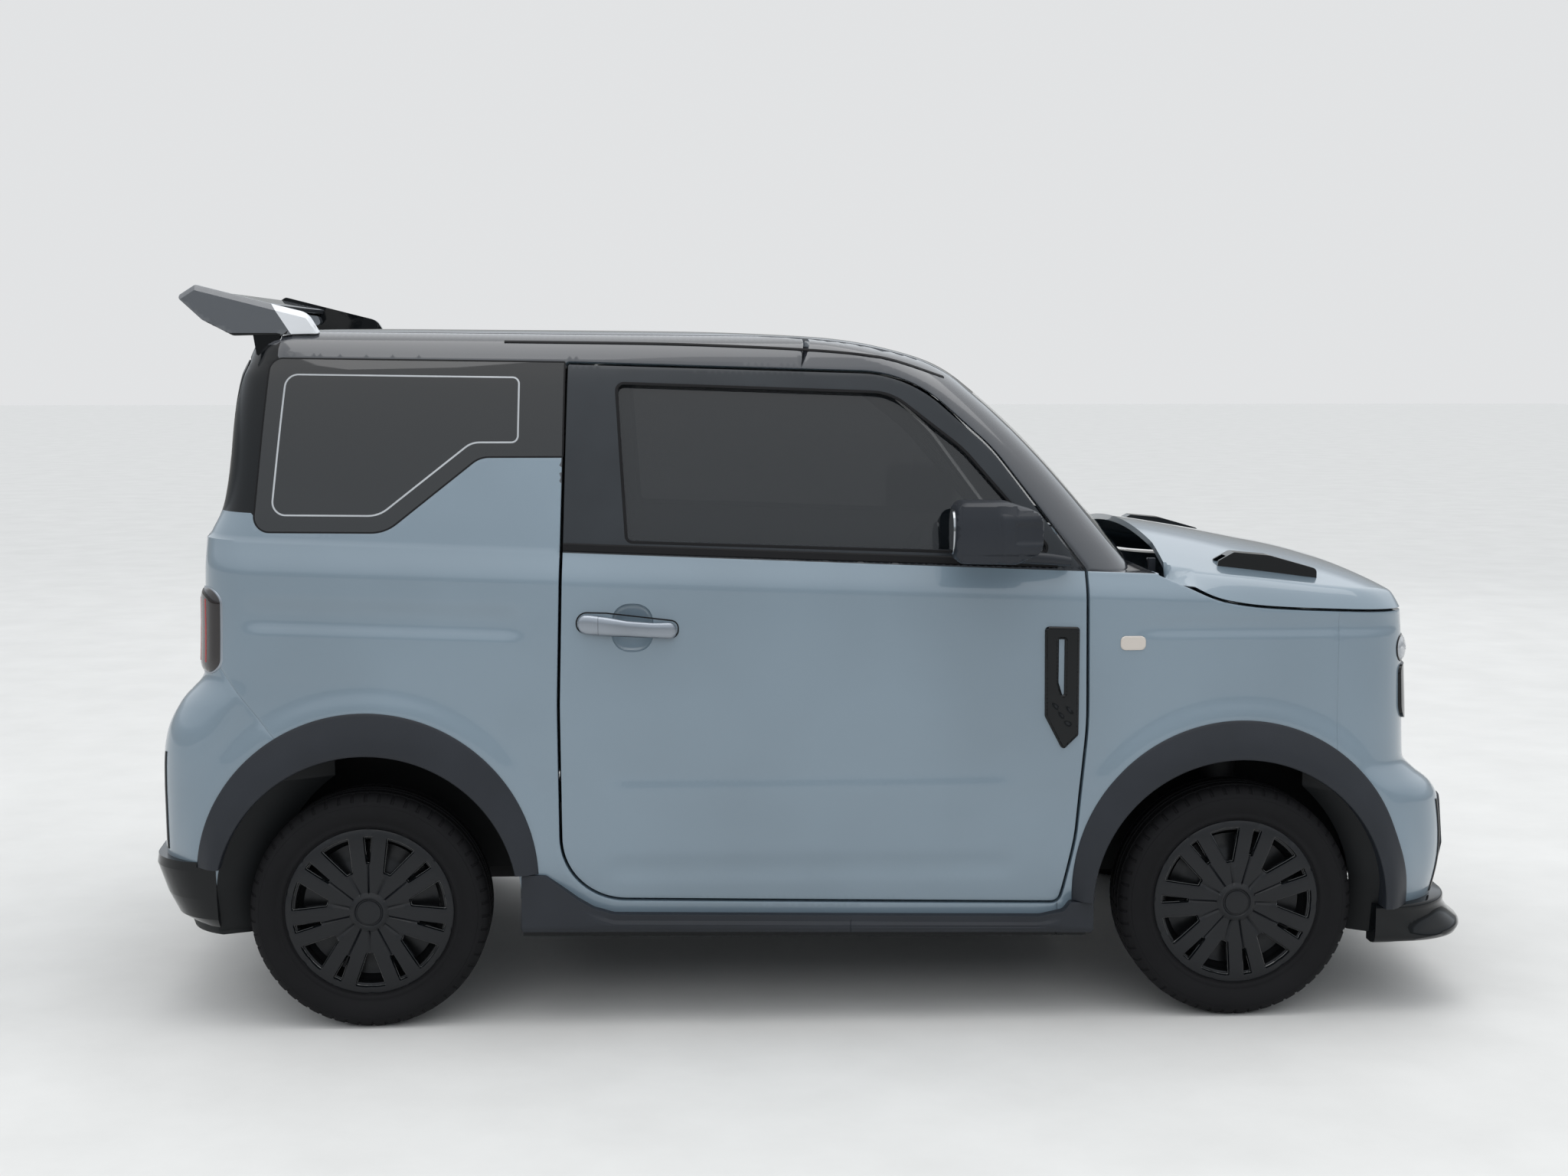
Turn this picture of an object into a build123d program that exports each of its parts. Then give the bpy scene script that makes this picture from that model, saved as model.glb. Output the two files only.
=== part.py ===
"""A small three-door city car, in millimetres: X forward, Y to the left, Z up, ground at Z = 0.

The origin lies on the ground below the middle of the car's length and width. The painted shell is one
hull, drawn as level outlines stacked up its height, hollowed by its wall and then parted along the shut
lines into doors, lids, wings and bumpers.
"""

import os
from math import atan2, cos, hypot, pi, radians, sin, tan

from build123d import *

# Driving dimensions
WHEELBASE = 2015.0
FRONT_OVERHANG = 600.5
REAR_OVERHANG = 534.5
BODY_HALF = 748.0
TYRE_RADIUS = 275.0
TYRE_WIDTH = 165.0
RIM_RADIUS = 178.0
WHEEL_FACE_Y = 742.0

DISC_Y = 677.5
COVER_RADIUS = 195.0
SPOKE_PAIRS = 7
GRILLE_ROWS = 4
ROOF_HALF = 520.0
ROOF_Z = 1490.0
STEERING_TILT = 25.0

# Walls, seams and clearances
SIDE_WALL = 75.0
ROOF_WALL = 42.0
NOSE_WALL = 42.0
SHUT_GAP = 7.0
SEAM = 0.8
INNER_STEP = 12.0
FIT = 0.3
RUNNING = 0.08
GLASS = 5.0

# Places worked out from the driving dimensions
REAR_AXLE_X = REAR_OVERHANG - (REAR_OVERHANG + WHEELBASE + FRONT_OVERHANG) / 2
FRONT_AXLE_X = REAR_AXLE_X + WHEELBASE
HUB_Z = TYRE_RADIUS
TYRE_MID_Y = WHEEL_FACE_Y - TYRE_WIDTH / 2
FAR = 2500.0

# Level outlines of the hull. The columns are the height, the fall forward per millimetre, the reach
# behind the rear axle, the reach ahead of the front axle, the tuck in from the widest half width, the
# rear and front corner radii, and the bow of the tail, the nose and the flanks.
LOWER_ROWS = [
    (200, 0.010, 447, 516, 36, 150, 170, 22, 25, 12),
    (400, 0.010, 503, 549, 6, 150, 190, 24, 25, 12),
    (520, 0.015, 503, 538, 3, 150, 190, 24, 25, 12),
    (560, 0.020, 502, 520, 2, 150, 190, 24, 25, 12),
    (600, 0.025, 499, 478, 0, 150, 190, 24, 25, 13),
    (640, 0.030, 490, 449, 0, 150, 185, 24, 25, 14),
    (700, 0.034, 458, 445, 0, 150, 180, 24, 25, 16),
    (775, 0.034, 401, 440, 0, 140, 170, 24, 25, 18),
    (1013, 0.034, 391, 424, 2, 120, 150, 24, 25, 22),
]
SHOULDER_ROW = LOWER_ROWS[-1]
BELT_ROW = (1078, 0.040, 388, 366, 26, 110, 130, 24, 25, 22)
GLASSHOUSE_ROWS = [
    (1078, 0.040, 384, -176, 30, 110, 120, 24, 80, 22, 0.0),
    (1160, 0.036, 350, -246, 44, 105, 118, 24, 78, 20, 0.0),
    (1470, 0.020, 315, -563, 114, 100, 110, 24, 70, 16, 0.0),
    (1530, 0.012, 294, -658, 138, 100, 130, 22, 60, 14, 0.3),
    (1566, 0.010, 281, -778, 160, 100, 140, 22, 50, 12, 0.8),
    (1588, 0.010, 255, -914, 205, 100, 150, 20, 40, 10, 1.0),
    (1598, 0.008, 190, -1094, 300, 90, 150, 18, 30, 8, 1.0),
]

# Cross sections of the bonnet, by their place ahead of the front axle. The columns are that place, the
# half width and height of the shoulder, and the height of the crown.
BONNET_ROWS = [
    (-182, 722, 1046, 1128),
    (0, 708, 1034, 1099),
    (175, 690, 1018, 1066),
    (320, 672, 1003, 1036),
    (395, 655, 985, 1012),
    (435, 640, 962, 982),
    (470, 640, 932, 938),
]
NOSE_REAR_X = FRONT_AXLE_X + BONNET_ROWS[0][0]
SHOULDER_INNER_Y = 640.0


def cross(a, b):
    return a[0] * b[1] - a[1] * b[0]


def unit(a, b):
    length = hypot(b[0] - a[0], b[1] - a[1])
    return ((b[0] - a[0]) / length, (b[1] - a[1]) / length)


def grown(points, gap):
    """The closed outline moved outwards by a gap, with its corners kept concentric."""
    count = len(points)
    area = sum(cross(points[i - 1], points[i]) for i in range(count))
    out = 1 if area > 0 else -1
    moved = []
    for i, (u, v, radius) in enumerate(points):
        before = unit(points[i - 1], points[i])
        after = unit(points[i], points[(i + 1) % count])
        turn = out * cross(before, after)
        bend = 1 + before[0] * after[0] + before[1] * after[1]
        du = out * gap * (before[1] + after[1]) / bend
        dv = -out * gap * (before[0] + after[0]) / bend
        new_radius = radius + gap if turn > 0 else radius - gap
        moved.append((u + du, v + dv, max(new_radius, 0.5)))
    return moved


def outline_edges(points, place):
    """Edges of a closed outline of straight runs, each corner rounded to its own radius."""
    count = len(points)
    corners = []
    for i, (u, v, radius) in enumerate(points):
        before = unit(points[i - 1], points[i])
        after = unit(points[i], points[(i + 1) % count])
        turn = atan2(cross(before, after), before[0] * after[0] + before[1] * after[1])
        reach = radius * tan(abs(turn) / 2)
        start = (u - before[0] * reach, v - before[1] * reach)
        end = (u + after[0] * reach, v + after[1] * reach)
        inward = ((after[0] - before[0]), (after[1] - before[1]))
        size = hypot(*inward) or 1.0
        sag = radius * (1 / cos(turn / 2) - 1)
        middle = (u + inward[0] / size * sag, v + inward[1] / size * sag)
        corners.append((start, middle, end, reach))
    edges = []
    for i, (start, middle, end, reach) in enumerate(corners):
        if reach > 0.01:
            edges.append(Edge.make_three_point_arc(place(*start), place(*middle), place(*end)))
        following = corners[(i + 1) % count][0]
        tail = end if reach > 0.01 else start
        if hypot(following[0] - tail[0], following[1] - tail[1]) > 1e-4:
            edges.append(Edge.make_line(place(*tail), place(*following)))
    return edges


def prism_y(points, y0, y1):
    """A side-view outline of X and Z, carried across the car from y0 to y1."""
    face = Face(Wire(outline_edges(points, lambda u, v: Vector(u, y0, v))))
    return Solid.extrude(face, Vector(0, y1 - y0, 0))


def prism_x(points, x0, x1):
    """An end-view outline of Y and Z, carried along the car from x0 to x1."""
    face = Face(Wire(outline_edges(points, lambda u, v: Vector(x0, u, v))))
    return Solid.extrude(face, Vector(x1 - x0, 0, 0))


def prism_z(points, z0, z1):
    """A plan outline of X and Y, carried up from z0 to z1."""
    face = Face(Wire(outline_edges(points, lambda u, v: Vector(u, v, z0))))
    return Solid.extrude(face, Vector(0, 0, z1 - z0))


def block(x0, x1, y0, y1, z0, z1):
    return Pos((x0 + x1) / 2, (y0 + y1) / 2, (z0 + z1) / 2) * Box(x1 - x0, y1 - y0, z1 - z0)


def drum(x, y0, y1, z, radius):
    """A cylinder about an axis across the car."""
    return Pos(x, (y0 + y1) / 2, z) * Rot(90, 0, 0) * Cylinder(radius, y1 - y0)


def plan_wire(row, inset=0.0):
    """A level outline: four shallow arcs with rounded corners, moved inwards by an inset."""
    z, fall, rear, front, tuck, rear_r, front_r, rear_bow, front_bow, side_bow = row[:10]
    down = row[10] if len(row) > 10 else 0.0
    half = BODY_HALF - tuck - inset
    tail_x = REAR_AXLE_X - rear + inset
    nose_x = FRONT_AXLE_X + front - inset
    middle_x = (tail_x + nose_x) / 2
    corner_y = half - side_bow
    tail_corner = tail_x + rear_bow
    nose_corner = nose_x - front_bow
    z = z - down * inset

    def at(x, y):
        return Vector(x, y, z - fall * x)

    wire = Wire(
        [
            Edge.make_three_point_arc(at(tail_corner, -corner_y), at(tail_x, 0), at(tail_corner, corner_y)),
            Edge.make_three_point_arc(at(tail_corner, corner_y), at(middle_x, half), at(nose_corner, corner_y)),
            Edge.make_three_point_arc(at(nose_corner, corner_y), at(nose_x, 0), at(nose_corner, -corner_y)),
            Edge.make_three_point_arc(at(nose_corner, -corner_y), at(middle_x, -half), at(tail_corner, -corner_y)),
        ]
    )
    tail = [v for v in wire.vertices() if v.X < middle_x]
    wire = wire.fillet_2d(max(rear_r - inset, 15), tail)
    nose = [v for v in wire.vertices() if abs(v.X - nose_corner) < 1e-3]
    return wire.fillet_2d(max(front_r - inset, 15), nose)


def crown_wire(row, inset=0.0):
    """A cross section of the bonnet and the nose below it."""
    ahead, shoulder_y, shoulder_z, crown_z = row
    x = FRONT_AXLE_X + ahead - inset * (1 if ahead > 0 else 0)
    side_y = BODY_HALF + 10 - inset
    crease_z = SHOULDER_ROW[0] - SHOULDER_ROW[1] * x - 0.6 * inset
    crease_z = min(crease_z, shoulder_z - inset - 4)
    shoulder_y = min(shoulder_y, side_y - 4) - 0.5 * inset
    base_z = 650

    def at(y, z):
        return Vector(x, y, z)

    right = [at(-side_y, base_z), at(-side_y, crease_z), at(-shoulder_y, shoulder_z - inset)]
    left = [at(shoulder_y, shoulder_z - inset), at(side_y, crease_z), at(side_y, base_z)]
    return Wire(
        [
            Edge.make_line(right[0], right[1]),
            Edge.make_line(right[1], right[2]),
            Edge.make_three_point_arc(right[2], at(0, crown_z - inset), left[0]),
            Edge.make_line(left[0], left[1]),
            Edge.make_line(left[1], left[2]),
            Edge.make_line(left[2], right[0]),
        ]
    )


def hull(lower_inset, upper_inset, nose_inset, open_base=False):
    """The car's outside as one solid, moved inwards by the insets."""
    rows = list(LOWER_ROWS)
    wires = [plan_wire(row, lower_inset) for row in rows]
    if open_base:
        wires.insert(0, plan_wire((60, *rows[0][1:]), lower_inset))
    body = Solid.make_loft(wires, True)
    belt = Solid.make_loft([plan_wire(SHOULDER_ROW, lower_inset), plan_wire(BELT_ROW, lower_inset)], True)
    belt = belt & block(-FAR, NOSE_REAR_X, -FAR, FAR, 0, FAR)
    tall = [plan_wire((z, *SHOULDER_ROW[1:]), lower_inset) for z in (SHOULDER_ROW[0] - 60, 1250)]
    crown = Solid.make_loft([crown_wire(row, nose_inset) for row in BONNET_ROWS], True)
    nose = Solid.make_loft(tall, True) & crown & block(NOSE_REAR_X, FAR, -FAR, FAR, 0, FAR)
    low = body & (block(-FAR, NOSE_REAR_X, -FAR, FAR, 0, FAR) + crown_keep(nose_inset))
    upper = Solid.make_loft([plan_wire(row, upper_inset) for row in GLASSHOUSE_ROWS], True)
    return low + belt + nose + upper


def crown_keep(inset):
    """Everything under the bonnet's crown, down past the sills."""
    crown = Solid.make_loft([crown_wire(row, inset) for row in BONNET_ROWS], True)
    return crown + block(NOSE_REAR_X, FAR, -FAR, FAR, 0, 651)


# Side-view outlines of X, height and corner radius, each X from the nearer axle
DOOR_FRONT_X = FRONT_AXLE_X - 359.5
DOOR_REAR_X = REAR_AXLE_X + 439.5
DOOR = [
    (DOOR_REAR_X + 20, 1530, 8),
    (FRONT_AXLE_X - 769, 1506, 300),
    (FRONT_AXLE_X - 574, 1332, 400),
    (DOOR_FRONT_X - 4, 1055, 12),
    (DOOR_FRONT_X, 700, 800),
    (DOOR_FRONT_X - 25, 440, 500),
    (DOOR_FRONT_X - 59, 278, 22),
    (DOOR_REAR_X + 3, 300, 150),
    (DOOR_REAR_X, 754, 800),
]
WINDOW = [
    (DOOR_REAR_X + 137, 1481, 14),
    (FRONT_AXLE_X - 810, 1459, 130),
    (FRONT_AXLE_X - 644, 1330, 300),
    (FRONT_AXLE_X - 440, 1094, 12),
    (DOOR_REAR_X + 160, 1128, 12),
]
QUARTER_PANE = [
    (REAR_AXLE_X - 216, 1541, 30),
    (REAR_AXLE_X + 456, 1532, 3),
    (REAR_AXLE_X + 452, 1317, 3),
    (REAR_AXLE_X + 264, 1317, 60),
    (REAR_AXLE_X + 50, 1147, 90),
    (REAR_AXLE_X - 249, 1149, 35),
]
QUARTER_LIGHT = [
    (REAR_AXLE_X - 178, 1504, 30),
    (REAR_AXLE_X + 352, 1497, 15),
    (REAR_AXLE_X + 350, 1350, 15),
    (REAR_AXLE_X + 245, 1350, 50),
    (REAR_AXLE_X + 36, 1185, 70),
    (REAR_AXLE_X - 207, 1187, 30),
]
BONNET_EDGE = [
    (FRONT_AXLE_X - 260, 1085, 0),
    (FRONT_AXLE_X - 142, 1040, 100),
    (FRONT_AXLE_X - 39, 986, 150),
    (FRONT_AXLE_X + 392, 955, 0),
    (FRONT_AXLE_X + 700, 933, 0),
]
BUMPER_FRONT_X = FRONT_AXLE_X + 226
REAR_BUMPER = [
    (REAR_AXLE_X - 700, 120, 0),
    (REAR_AXLE_X - 203, 120, 0),
    (REAR_AXLE_X - 203, 681, 4),
    (REAR_AXLE_X - 335, 848, 4),
    (REAR_AXLE_X - 700, 860, 0),
]

# End-view outlines of Y, height and corner radius
TAILGATE = [
    (-606, 735, 50),
    (606, 735, 50),
    (606, 1100, 250),
    (560, 1541, 40),
    (-560, 1541, 40),
    (-606, 1100, 250),
]
TAILGATE_PANE = [(-536, 1154, 42), (536, 1154, 42), (498, 1498, 42), (-498, 1498, 42)]
WINDSCREEN = [(-640, 1066, 50), (640, 1066, 50), (532, 1498, 60), (-532, 1498, 60)]

# Wheel arches: the flare's inner edge, its outer edge and their centres above the ground
ARCH_RADIUS = 343.0
ARCH_EDGE = 7.0
FLARE_RADIUS = 390.0
FLARE_Y = 770.0
ARCHES = [(FRONT_AXLE_X, HUB_Z, 318, 286, 286), (REAR_AXLE_X, HUB_Z + 25, 350, 385, 364)]
LINER_Y = 405.0


def loft(rows, inset):
    return Solid.make_loft([plan_wire(row, inset) for row in rows], True)


def layer(rows, outer, inner):
    """A skin of even depth under the hull, between two insets."""
    return loft(rows, outer) - loft(rows, inner)


def mirrored(shape):
    return mirror(shape, about=Plane.XZ)


def both(shape):
    return Compound(children=[*shape.solids(), *mirrored(shape).solids()])


def write(name, shape):
    solids = shape.solids()
    whole = solids[0] if len(solids) == 1 else Compound(children=list(solids))
    export_step(whole, f"parts/{name}.step")


def write_pair(name, right):
    write(f"{name}_right", right)
    write(f"{name}_left", mirrored(right))


def arch_cut(grow=ARCH_EDGE, inner_y=LINER_Y):
    """The two wheel arches on the right-hand side."""
    radius = ARCH_RADIUS + grow
    cuts = []
    for x, z, *_ in ARCHES:
        cuts.append(drum(x, -FAR, -inner_y, z, radius) + block(x - radius, x + radius, -FAR, -inner_y, -FAR, z))
    return cuts[0] + cuts[1]


def belt_z(x):
    """Height of the belt line, where the glasshouse stands on the lower body."""
    return BELT_ROW[0] - BELT_ROW[1] * x


# Hinges
DOOR_HINGE_X = DOOR_FRONT_X - 60
DOOR_HINGE_Y = BODY_HALF - 19
DOOR_HINGE_ZS = (520.0, 900.0)
PIN_RADIUS = 4.0
STRAP = 8.0
PILLAR_X = DOOR_FRONT_X + SHUT_GAP
CABIN_HALF = BODY_HALF - SIDE_WALL - 1
BONNET_HINGE = (FRONT_AXLE_X - 174.5, 1060.0)
TAILGATE_HINGE = (REAR_AXLE_X - 291.5, 1545.0)
LID_HINGE_Y = 350.0

# Steering: the kingpin leans in at the top and passes the lower ball joint
KINGPIN_TILT = 12.0
BALL_Y = 600.0
BALL_Z = 185.0
KINGPIN_RADIUS = 22.0
STUB_RADIUS = 20.0

# Floor
FLOOR_Z = 215.0
FLOOR_SHEET = 30.0
REAR_FLOOR_Z = 420.0
SILL_RISE = 55.0
KICK_X = REAR_AXLE_X + 320.5
BULKHEAD_X = DOOR_FRONT_X + 25
COWL_Z = 1022.0
LINER_SHEET = 5.0

# Jacking pads under the sills, and the end of the door mirror's arm behind the door's front edge
JACK_XS = (REAR_AXLE_X + 480.5, FRONT_AXLE_X - 494.5)
JACK_Y = 560.0
JACK_RADIUS = 30.0
JACK_DROP = 12.0
MIRROR_FOOT = 38.0

# Cabin
STEERING_WHEEL = (DOOR_FRONT_X - 335, 330.0, 905.0)


def make_shell():
    """The painted shell: the hull less the hull moved in by the walls."""
    return hull(0, 0, 0) - hull(SIDE_WALL, ROOF_WALL, NOSE_WALL, True)


def door_prism(gap):
    return prism_y(grown(DOOR, gap), -FAR, -300)


def above_belt(x0, x1):
    return prism_y([(x0, belt_z(x0), 0), (x1, belt_z(x1), 0), (x1, FAR, 0), (x0, FAR, 0)], -FAR, FAR)


def bonnet_prism(gap):
    """Everything above the bonnet's side shut line, lowered by a gap."""
    lower = [(x, z - gap, r) for x, z, r in BONNET_EDGE]
    return prism_y([*lower, (lower[-1][0], FAR, 0), (lower[0][0], FAR, 0)], -FAR, FAR)


def make_door(right, core):
    rim = door_prism(SHUT_GAP) - door_prism(-SHUT_GAP / 2 - INNER_STEP)
    door = (right & door_prism(-SHUT_GAP / 2)) - (rim & core)
    door = door - prism_y(WINDOW, -FAR, -300)
    slot = layer(GLASSHOUSE_ROWS, 14 - FIT, 14 + GLASS + FIT)
    door = door - (slot & prism_y(grown(WINDOW, 10 + FIT), -FAR, -300))
    for z in DOOR_HINGE_ZS:
        notch_y = DOOR_HINGE_Y + PIN_RADIUS + 7
        high = STRAP / 2 + 6
        notch = block(DOOR_HINGE_X - 12, DOOR_FRONT_X + 50, -notch_y, -500, z - high, z + high)
        bore = Pos(DOOR_HINGE_X, -DOOR_HINGE_Y, z) * Cylinder(PIN_RADIUS + RUNNING, 4 * high)
        door = door - notch - bore
    pane = layer(GLASSHOUSE_ROWS, 14, 14 + GLASS) & prism_y(grown(WINDOW, 10), -FAR, -300)
    return door, pane


def make_side(right, arches):
    """The fixed side: windscreen pillar, roof rail, sill and rear quarter in one pressing."""
    front = block(DOOR_FRONT_X - 62, FAR, -FAR, FAR, 0, FAR) - above_belt(-FAR, FAR)
    side = right - door_prism(SHUT_GAP / 2) - front - arches - block(NOSE_REAR_X, FAR, -FAR, FAR, 0, FAR)
    side = side - block(-FAR, FAR, -ROOF_HALF, FAR, ROOF_Z, FAR)
    side = side - prism_x(grown(TAILGATE, SHUT_GAP / 2), -FAR, REAR_AXLE_X - 230)
    side = side - prism_y(grown(REAR_BUMPER, SEAM), -FAR, 0)
    side = side - prism_x(grown(WINDSCREEN, -25), FRONT_AXLE_X - 760, FAR)
    pocket = layer(GLASSHOUSE_ROWS, -1, GLASS + FIT)
    side = side - (pocket & prism_x(grown(WINDSCREEN, FIT), FRONT_AXLE_X - 760, FAR))
    side = side - (pocket & prism_y(grown(QUARTER_PANE, FIT), -FAR, -300))
    return side - prism_y(QUARTER_LIGHT, -FAR, -300)


def make_fender(right, arches):
    piece = right & block(DOOR_FRONT_X - 62, BUMPER_FRONT_X - SEAM, -FAR, 0, 0, FAR)
    piece = piece - above_belt(-FAR, NOSE_REAR_X) - door_prism(SHUT_GAP / 2)
    piece = piece - block(DOOR_FRONT_X - 62, FAR, -SHOULDER_INNER_Y, 0, SHOULDER_ROW[0] - 30, FAR)
    return piece - bonnet_prism(SHUT_GAP / 2) - arches


def make_bonnet(shell):
    rear = FRONT_AXLE_X - 176
    plan = [(rear, -760, 0), (rear + 26, -430, 300), (rear + 26, 430, 300), (rear, 760, 0)]
    plan = [*plan, (FRONT_AXLE_X + 700, 760, 0), (FRONT_AXLE_X + 700, -760, 0)]
    bonnet = shell & bonnet_prism(-SHUT_GAP / 2) & prism_z(plan, 800, 1300)
    x, z = BONNET_HINGE
    for side in (-1, 1):
        y0, y1 = sorted((side * 505, side * 535))
        bonnet = bonnet + (block(x - 9, x + 34, y0, y1, z - 9, z + 11))
        bonnet = bonnet - drum(x, y0 - 1, y1 + 1, z, PIN_RADIUS + RUNNING)
    return bonnet


def make_scoops(shell_skin):
    """Two low intakes that stand on the bonnet, open to the rear."""
    x0 = FRONT_AXLE_X - 38
    x1 = FRONT_AXLE_X + 205
    side = [
        (x0, 1020, 2),
        (x0 + 8, 1066, 4),
        (x0 + 44, 1086, 10),
        (x0 + 130, 1078, 60),
        (x1, 1046, 12),
        (x1, 1000, 2),
    ]
    solid = prism_y(side, -612, -556) - shell_skin
    mouth = [
        (x0 - 9, 1010, 0),
        (x0 - 9, 1060, 0),
        (x0 + 30, 1078, 6),
        (x0 + 60, 1070, 10),
        (x0 + 60, 1010, 0),
    ]
    return solid - prism_y(mouth, -604, -564)


def make_bumpers(shell, arches):
    both_arches = arches + mirrored(arches)
    front = shell & block(BUMPER_FRONT_X + SEAM, FAR, -FAR, FAR, 0, FAR)
    front = front - bonnet_prism(SHUT_GAP / 2) - both_arches
    rear = shell & prism_y(grown(REAR_BUMPER, -SEAM), -FAR, FAR)
    rear = rear - prism_x(grown(TAILGATE, SHUT_GAP / 2), -FAR, REAR_AXLE_X - 230) - both_arches
    return front, rear


def make_tailgate(shell):
    tailgate = shell & prism_x(grown(TAILGATE, -SHUT_GAP / 2), -FAR, REAR_AXLE_X - 230)
    tailgate = tailgate - prism_x(grown(TAILGATE_PANE, -30), -FAR, 0)
    pocket = prism_x(grown(TAILGATE_PANE, FIT), -FAR, REAR_AXLE_X - 150)
    tailgate = tailgate - (layer(GLASSHOUSE_ROWS, -1, GLASS + FIT) & pocket)
    pane = layer(GLASSHOUSE_ROWS, 0, GLASS) & prism_x(TAILGATE_PANE, -FAR, REAR_AXLE_X - 150)
    x, z = TAILGATE_HINGE
    for side in (-1, 1):
        y0, y1 = sorted((side * (LID_HINGE_Y + 3), side * (LID_HINGE_Y + 40)))
        clear0, clear1 = sorted((side * (LID_HINGE_Y - 40), side * (LID_HINGE_Y + 1)))
        tailgate = tailgate - drum(x, clear0, clear1, z, 15)
        tailgate = tailgate + drum(x, y0, y1, z, 8) + block(x - 6, x + 30, y0, y1, z - 24, z - 4)
        tailgate = tailgate - drum(x, y0 - 4, y1 + 4, z, PIN_RADIUS + RUNNING)
    return tailgate, pane


def make_roof(shell):
    roof = shell & block(-FAR, FAR, -ROOF_HALF, ROOF_HALF, ROOF_Z, FAR)
    roof = roof - prism_x(grown(TAILGATE, SHUT_GAP / 2), -FAR, REAR_AXLE_X - 230)
    roof = roof - prism_x(grown(WINDSCREEN, -25), FRONT_AXLE_X - 760, FAR)
    pocket = layer(GLASSHOUSE_ROWS, -1, GLASS + FIT)
    roof = roof - (pocket & prism_x(grown(WINDSCREEN, FIT), FRONT_AXLE_X - 760, FAR))
    x, z = TAILGATE_HINGE
    for side in (-1, 1):
        y0, y1 = sorted((side * (LID_HINGE_Y - 30), side * LID_HINGE_Y))
        clear0, clear1 = sorted((side * (LID_HINGE_Y + 1), side * (LID_HINGE_Y + 45)))
        pin0, pin1 = sorted((side * (LID_HINGE_Y - 30), side * (LID_HINGE_Y + 38)))
        roof = roof - drum(x, clear0, clear1, z, 14)
        roof = roof + drum(x, y0, y1, z, 8) + block(x - 6, x + 30, y0, y1, z + 5, z + 20)
        roof = roof + drum(x, pin0, pin1, z, PIN_RADIUS)
    return roof


def make_flares(skin_low):
    """Plastic arches that lie on the right-hand wings, with a lip turned in under them."""
    pieces = []
    for x, inner_z, outer_z, rear_z, front_z in ARCHES:
        ring = drum(x, -FLARE_Y, -600, outer_z, FLARE_RADIUS) - drum(x, -FAR, 0, inner_z, ARCH_RADIUS)
        ring = ring - block(x - 500, x, -FAR, 0, -FAR, rear_z) - block(x, x + 500, -FAR, 0, -FAR, front_z)
        pieces.append(ring - skin_low)
    return pieces


def make_skirt(skin_low):
    front = FRONT_AXLE_X - 340
    outline = [
        (REAR_AXLE_X + 351, 363, 8),
        (REAR_AXLE_X + 407, 360, 15),
        (REAR_AXLE_X + 480, 303, 20),
        (REAR_AXLE_X + 515, 281, 20),
        (REAR_AXLE_X + 562, 266, 30),
        (front - 122, 250, 60),
        (front - 70, 262, 20),
        (front - 54, 284, 8),
        (front, 284, 6),
        (front, 209, 6),
        (REAR_AXLE_X + 349, 226, 6),
    ]
    return prism_y(outline, -BODY_HALF - 4, -BODY_HALF + 62) - skin_low


def lip_rows(table, front):
    """Level outlines of an apron, from rows of height and reach."""
    rows = []
    for z, reach, tuck in table:
        rear = 300 if front else reach
        ahead = reach if front else 300
        rows.append((z, 0.0, rear, ahead, tuck, 150, 190, 40, 34, 12))
    return rows


def apron(rows, wall):
    """A band that follows its level outlines, open above and below."""
    lowest = (rows[0][0] - 10, *rows[0][1:])
    highest = (rows[-1][0] + 10, *rows[-1][1:])
    return loft(rows, 0) - loft([lowest, *rows[1:-1], highest], wall)


def make_aprons(skin_low):
    """The lip under the nose, and the skirt under the tail, cut clear of the rear arches."""
    front_table = [
        (157, FRONT_OVERHANG - 16, 22),
        (174, FRONT_OVERHANG, 10),
        (195, FRONT_OVERHANG, 8),
        (222, FRONT_OVERHANG - 29.5, 6),
        (258, FRONT_OVERHANG - 30.5, 6),
    ]
    rear_table = [
        (236, REAR_OVERHANG - 78, 20),
        (258, REAR_OVERHANG - 45, 12),
        (307, REAR_OVERHANG - 22, 6),
        (375, REAR_OVERHANG, 2),
        (396, REAR_OVERHANG - 3, 2),
    ]
    front = apron(lip_rows(front_table, True), 70)
    front = front & block(FRONT_AXLE_X + 370, FAR, -FAR, FAR, 0, FAR)
    rear = apron(lip_rows(rear_table, False), 60)
    rear = rear & block(-FAR, REAR_AXLE_X - 345, -FAR, FAR, 0, FAR)
    x, _, outer_z, foot_z, _ = ARCHES[1]
    ring = drum(x, -FAR, FAR, outer_z, FLARE_RADIUS + FIT) & block(-FAR, x, -FAR, FAR, foot_z - FIT, FAR)
    return front - skin_low, rear - skin_low - ring


def make_nose_trim():
    """The dark band, the lamps above it and the lower grille, all laid on the bumper."""
    ahead = FRONT_AXLE_X + 300
    middle = [(-665, 692, 40), (665, 692, 40), (665, 822, 20), (-665, 822, 20)]
    band = layer(LOWER_ROWS, -7, -FIT) & prism_x(middle, ahead, FAR)
    lamp = [(400, 832, 26), (672, 832, 26), (672, 890, 26), (400, 890, 26)]
    lamps = layer(LOWER_ROWS, -12, -FIT) & prism_x(lamp, ahead, FAR)
    frame = [(-640, 300, 60), (640, 300, 60), (610, 500, 40), (-610, 500, 40)]
    grille = layer(LOWER_ROWS, -5, -FIT) & prism_x(frame, ahead, FAR)
    for row in range(GRILLE_ROWS):
        z = 328 + row * 42
        slot = [(-560, z, 9), (560, z, 9), (560, z + 20, 9), (-560, z + 20, 9)]
        grille = grille - prism_x(slot, ahead, FAR)
    return band, both(lamps), grille


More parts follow.
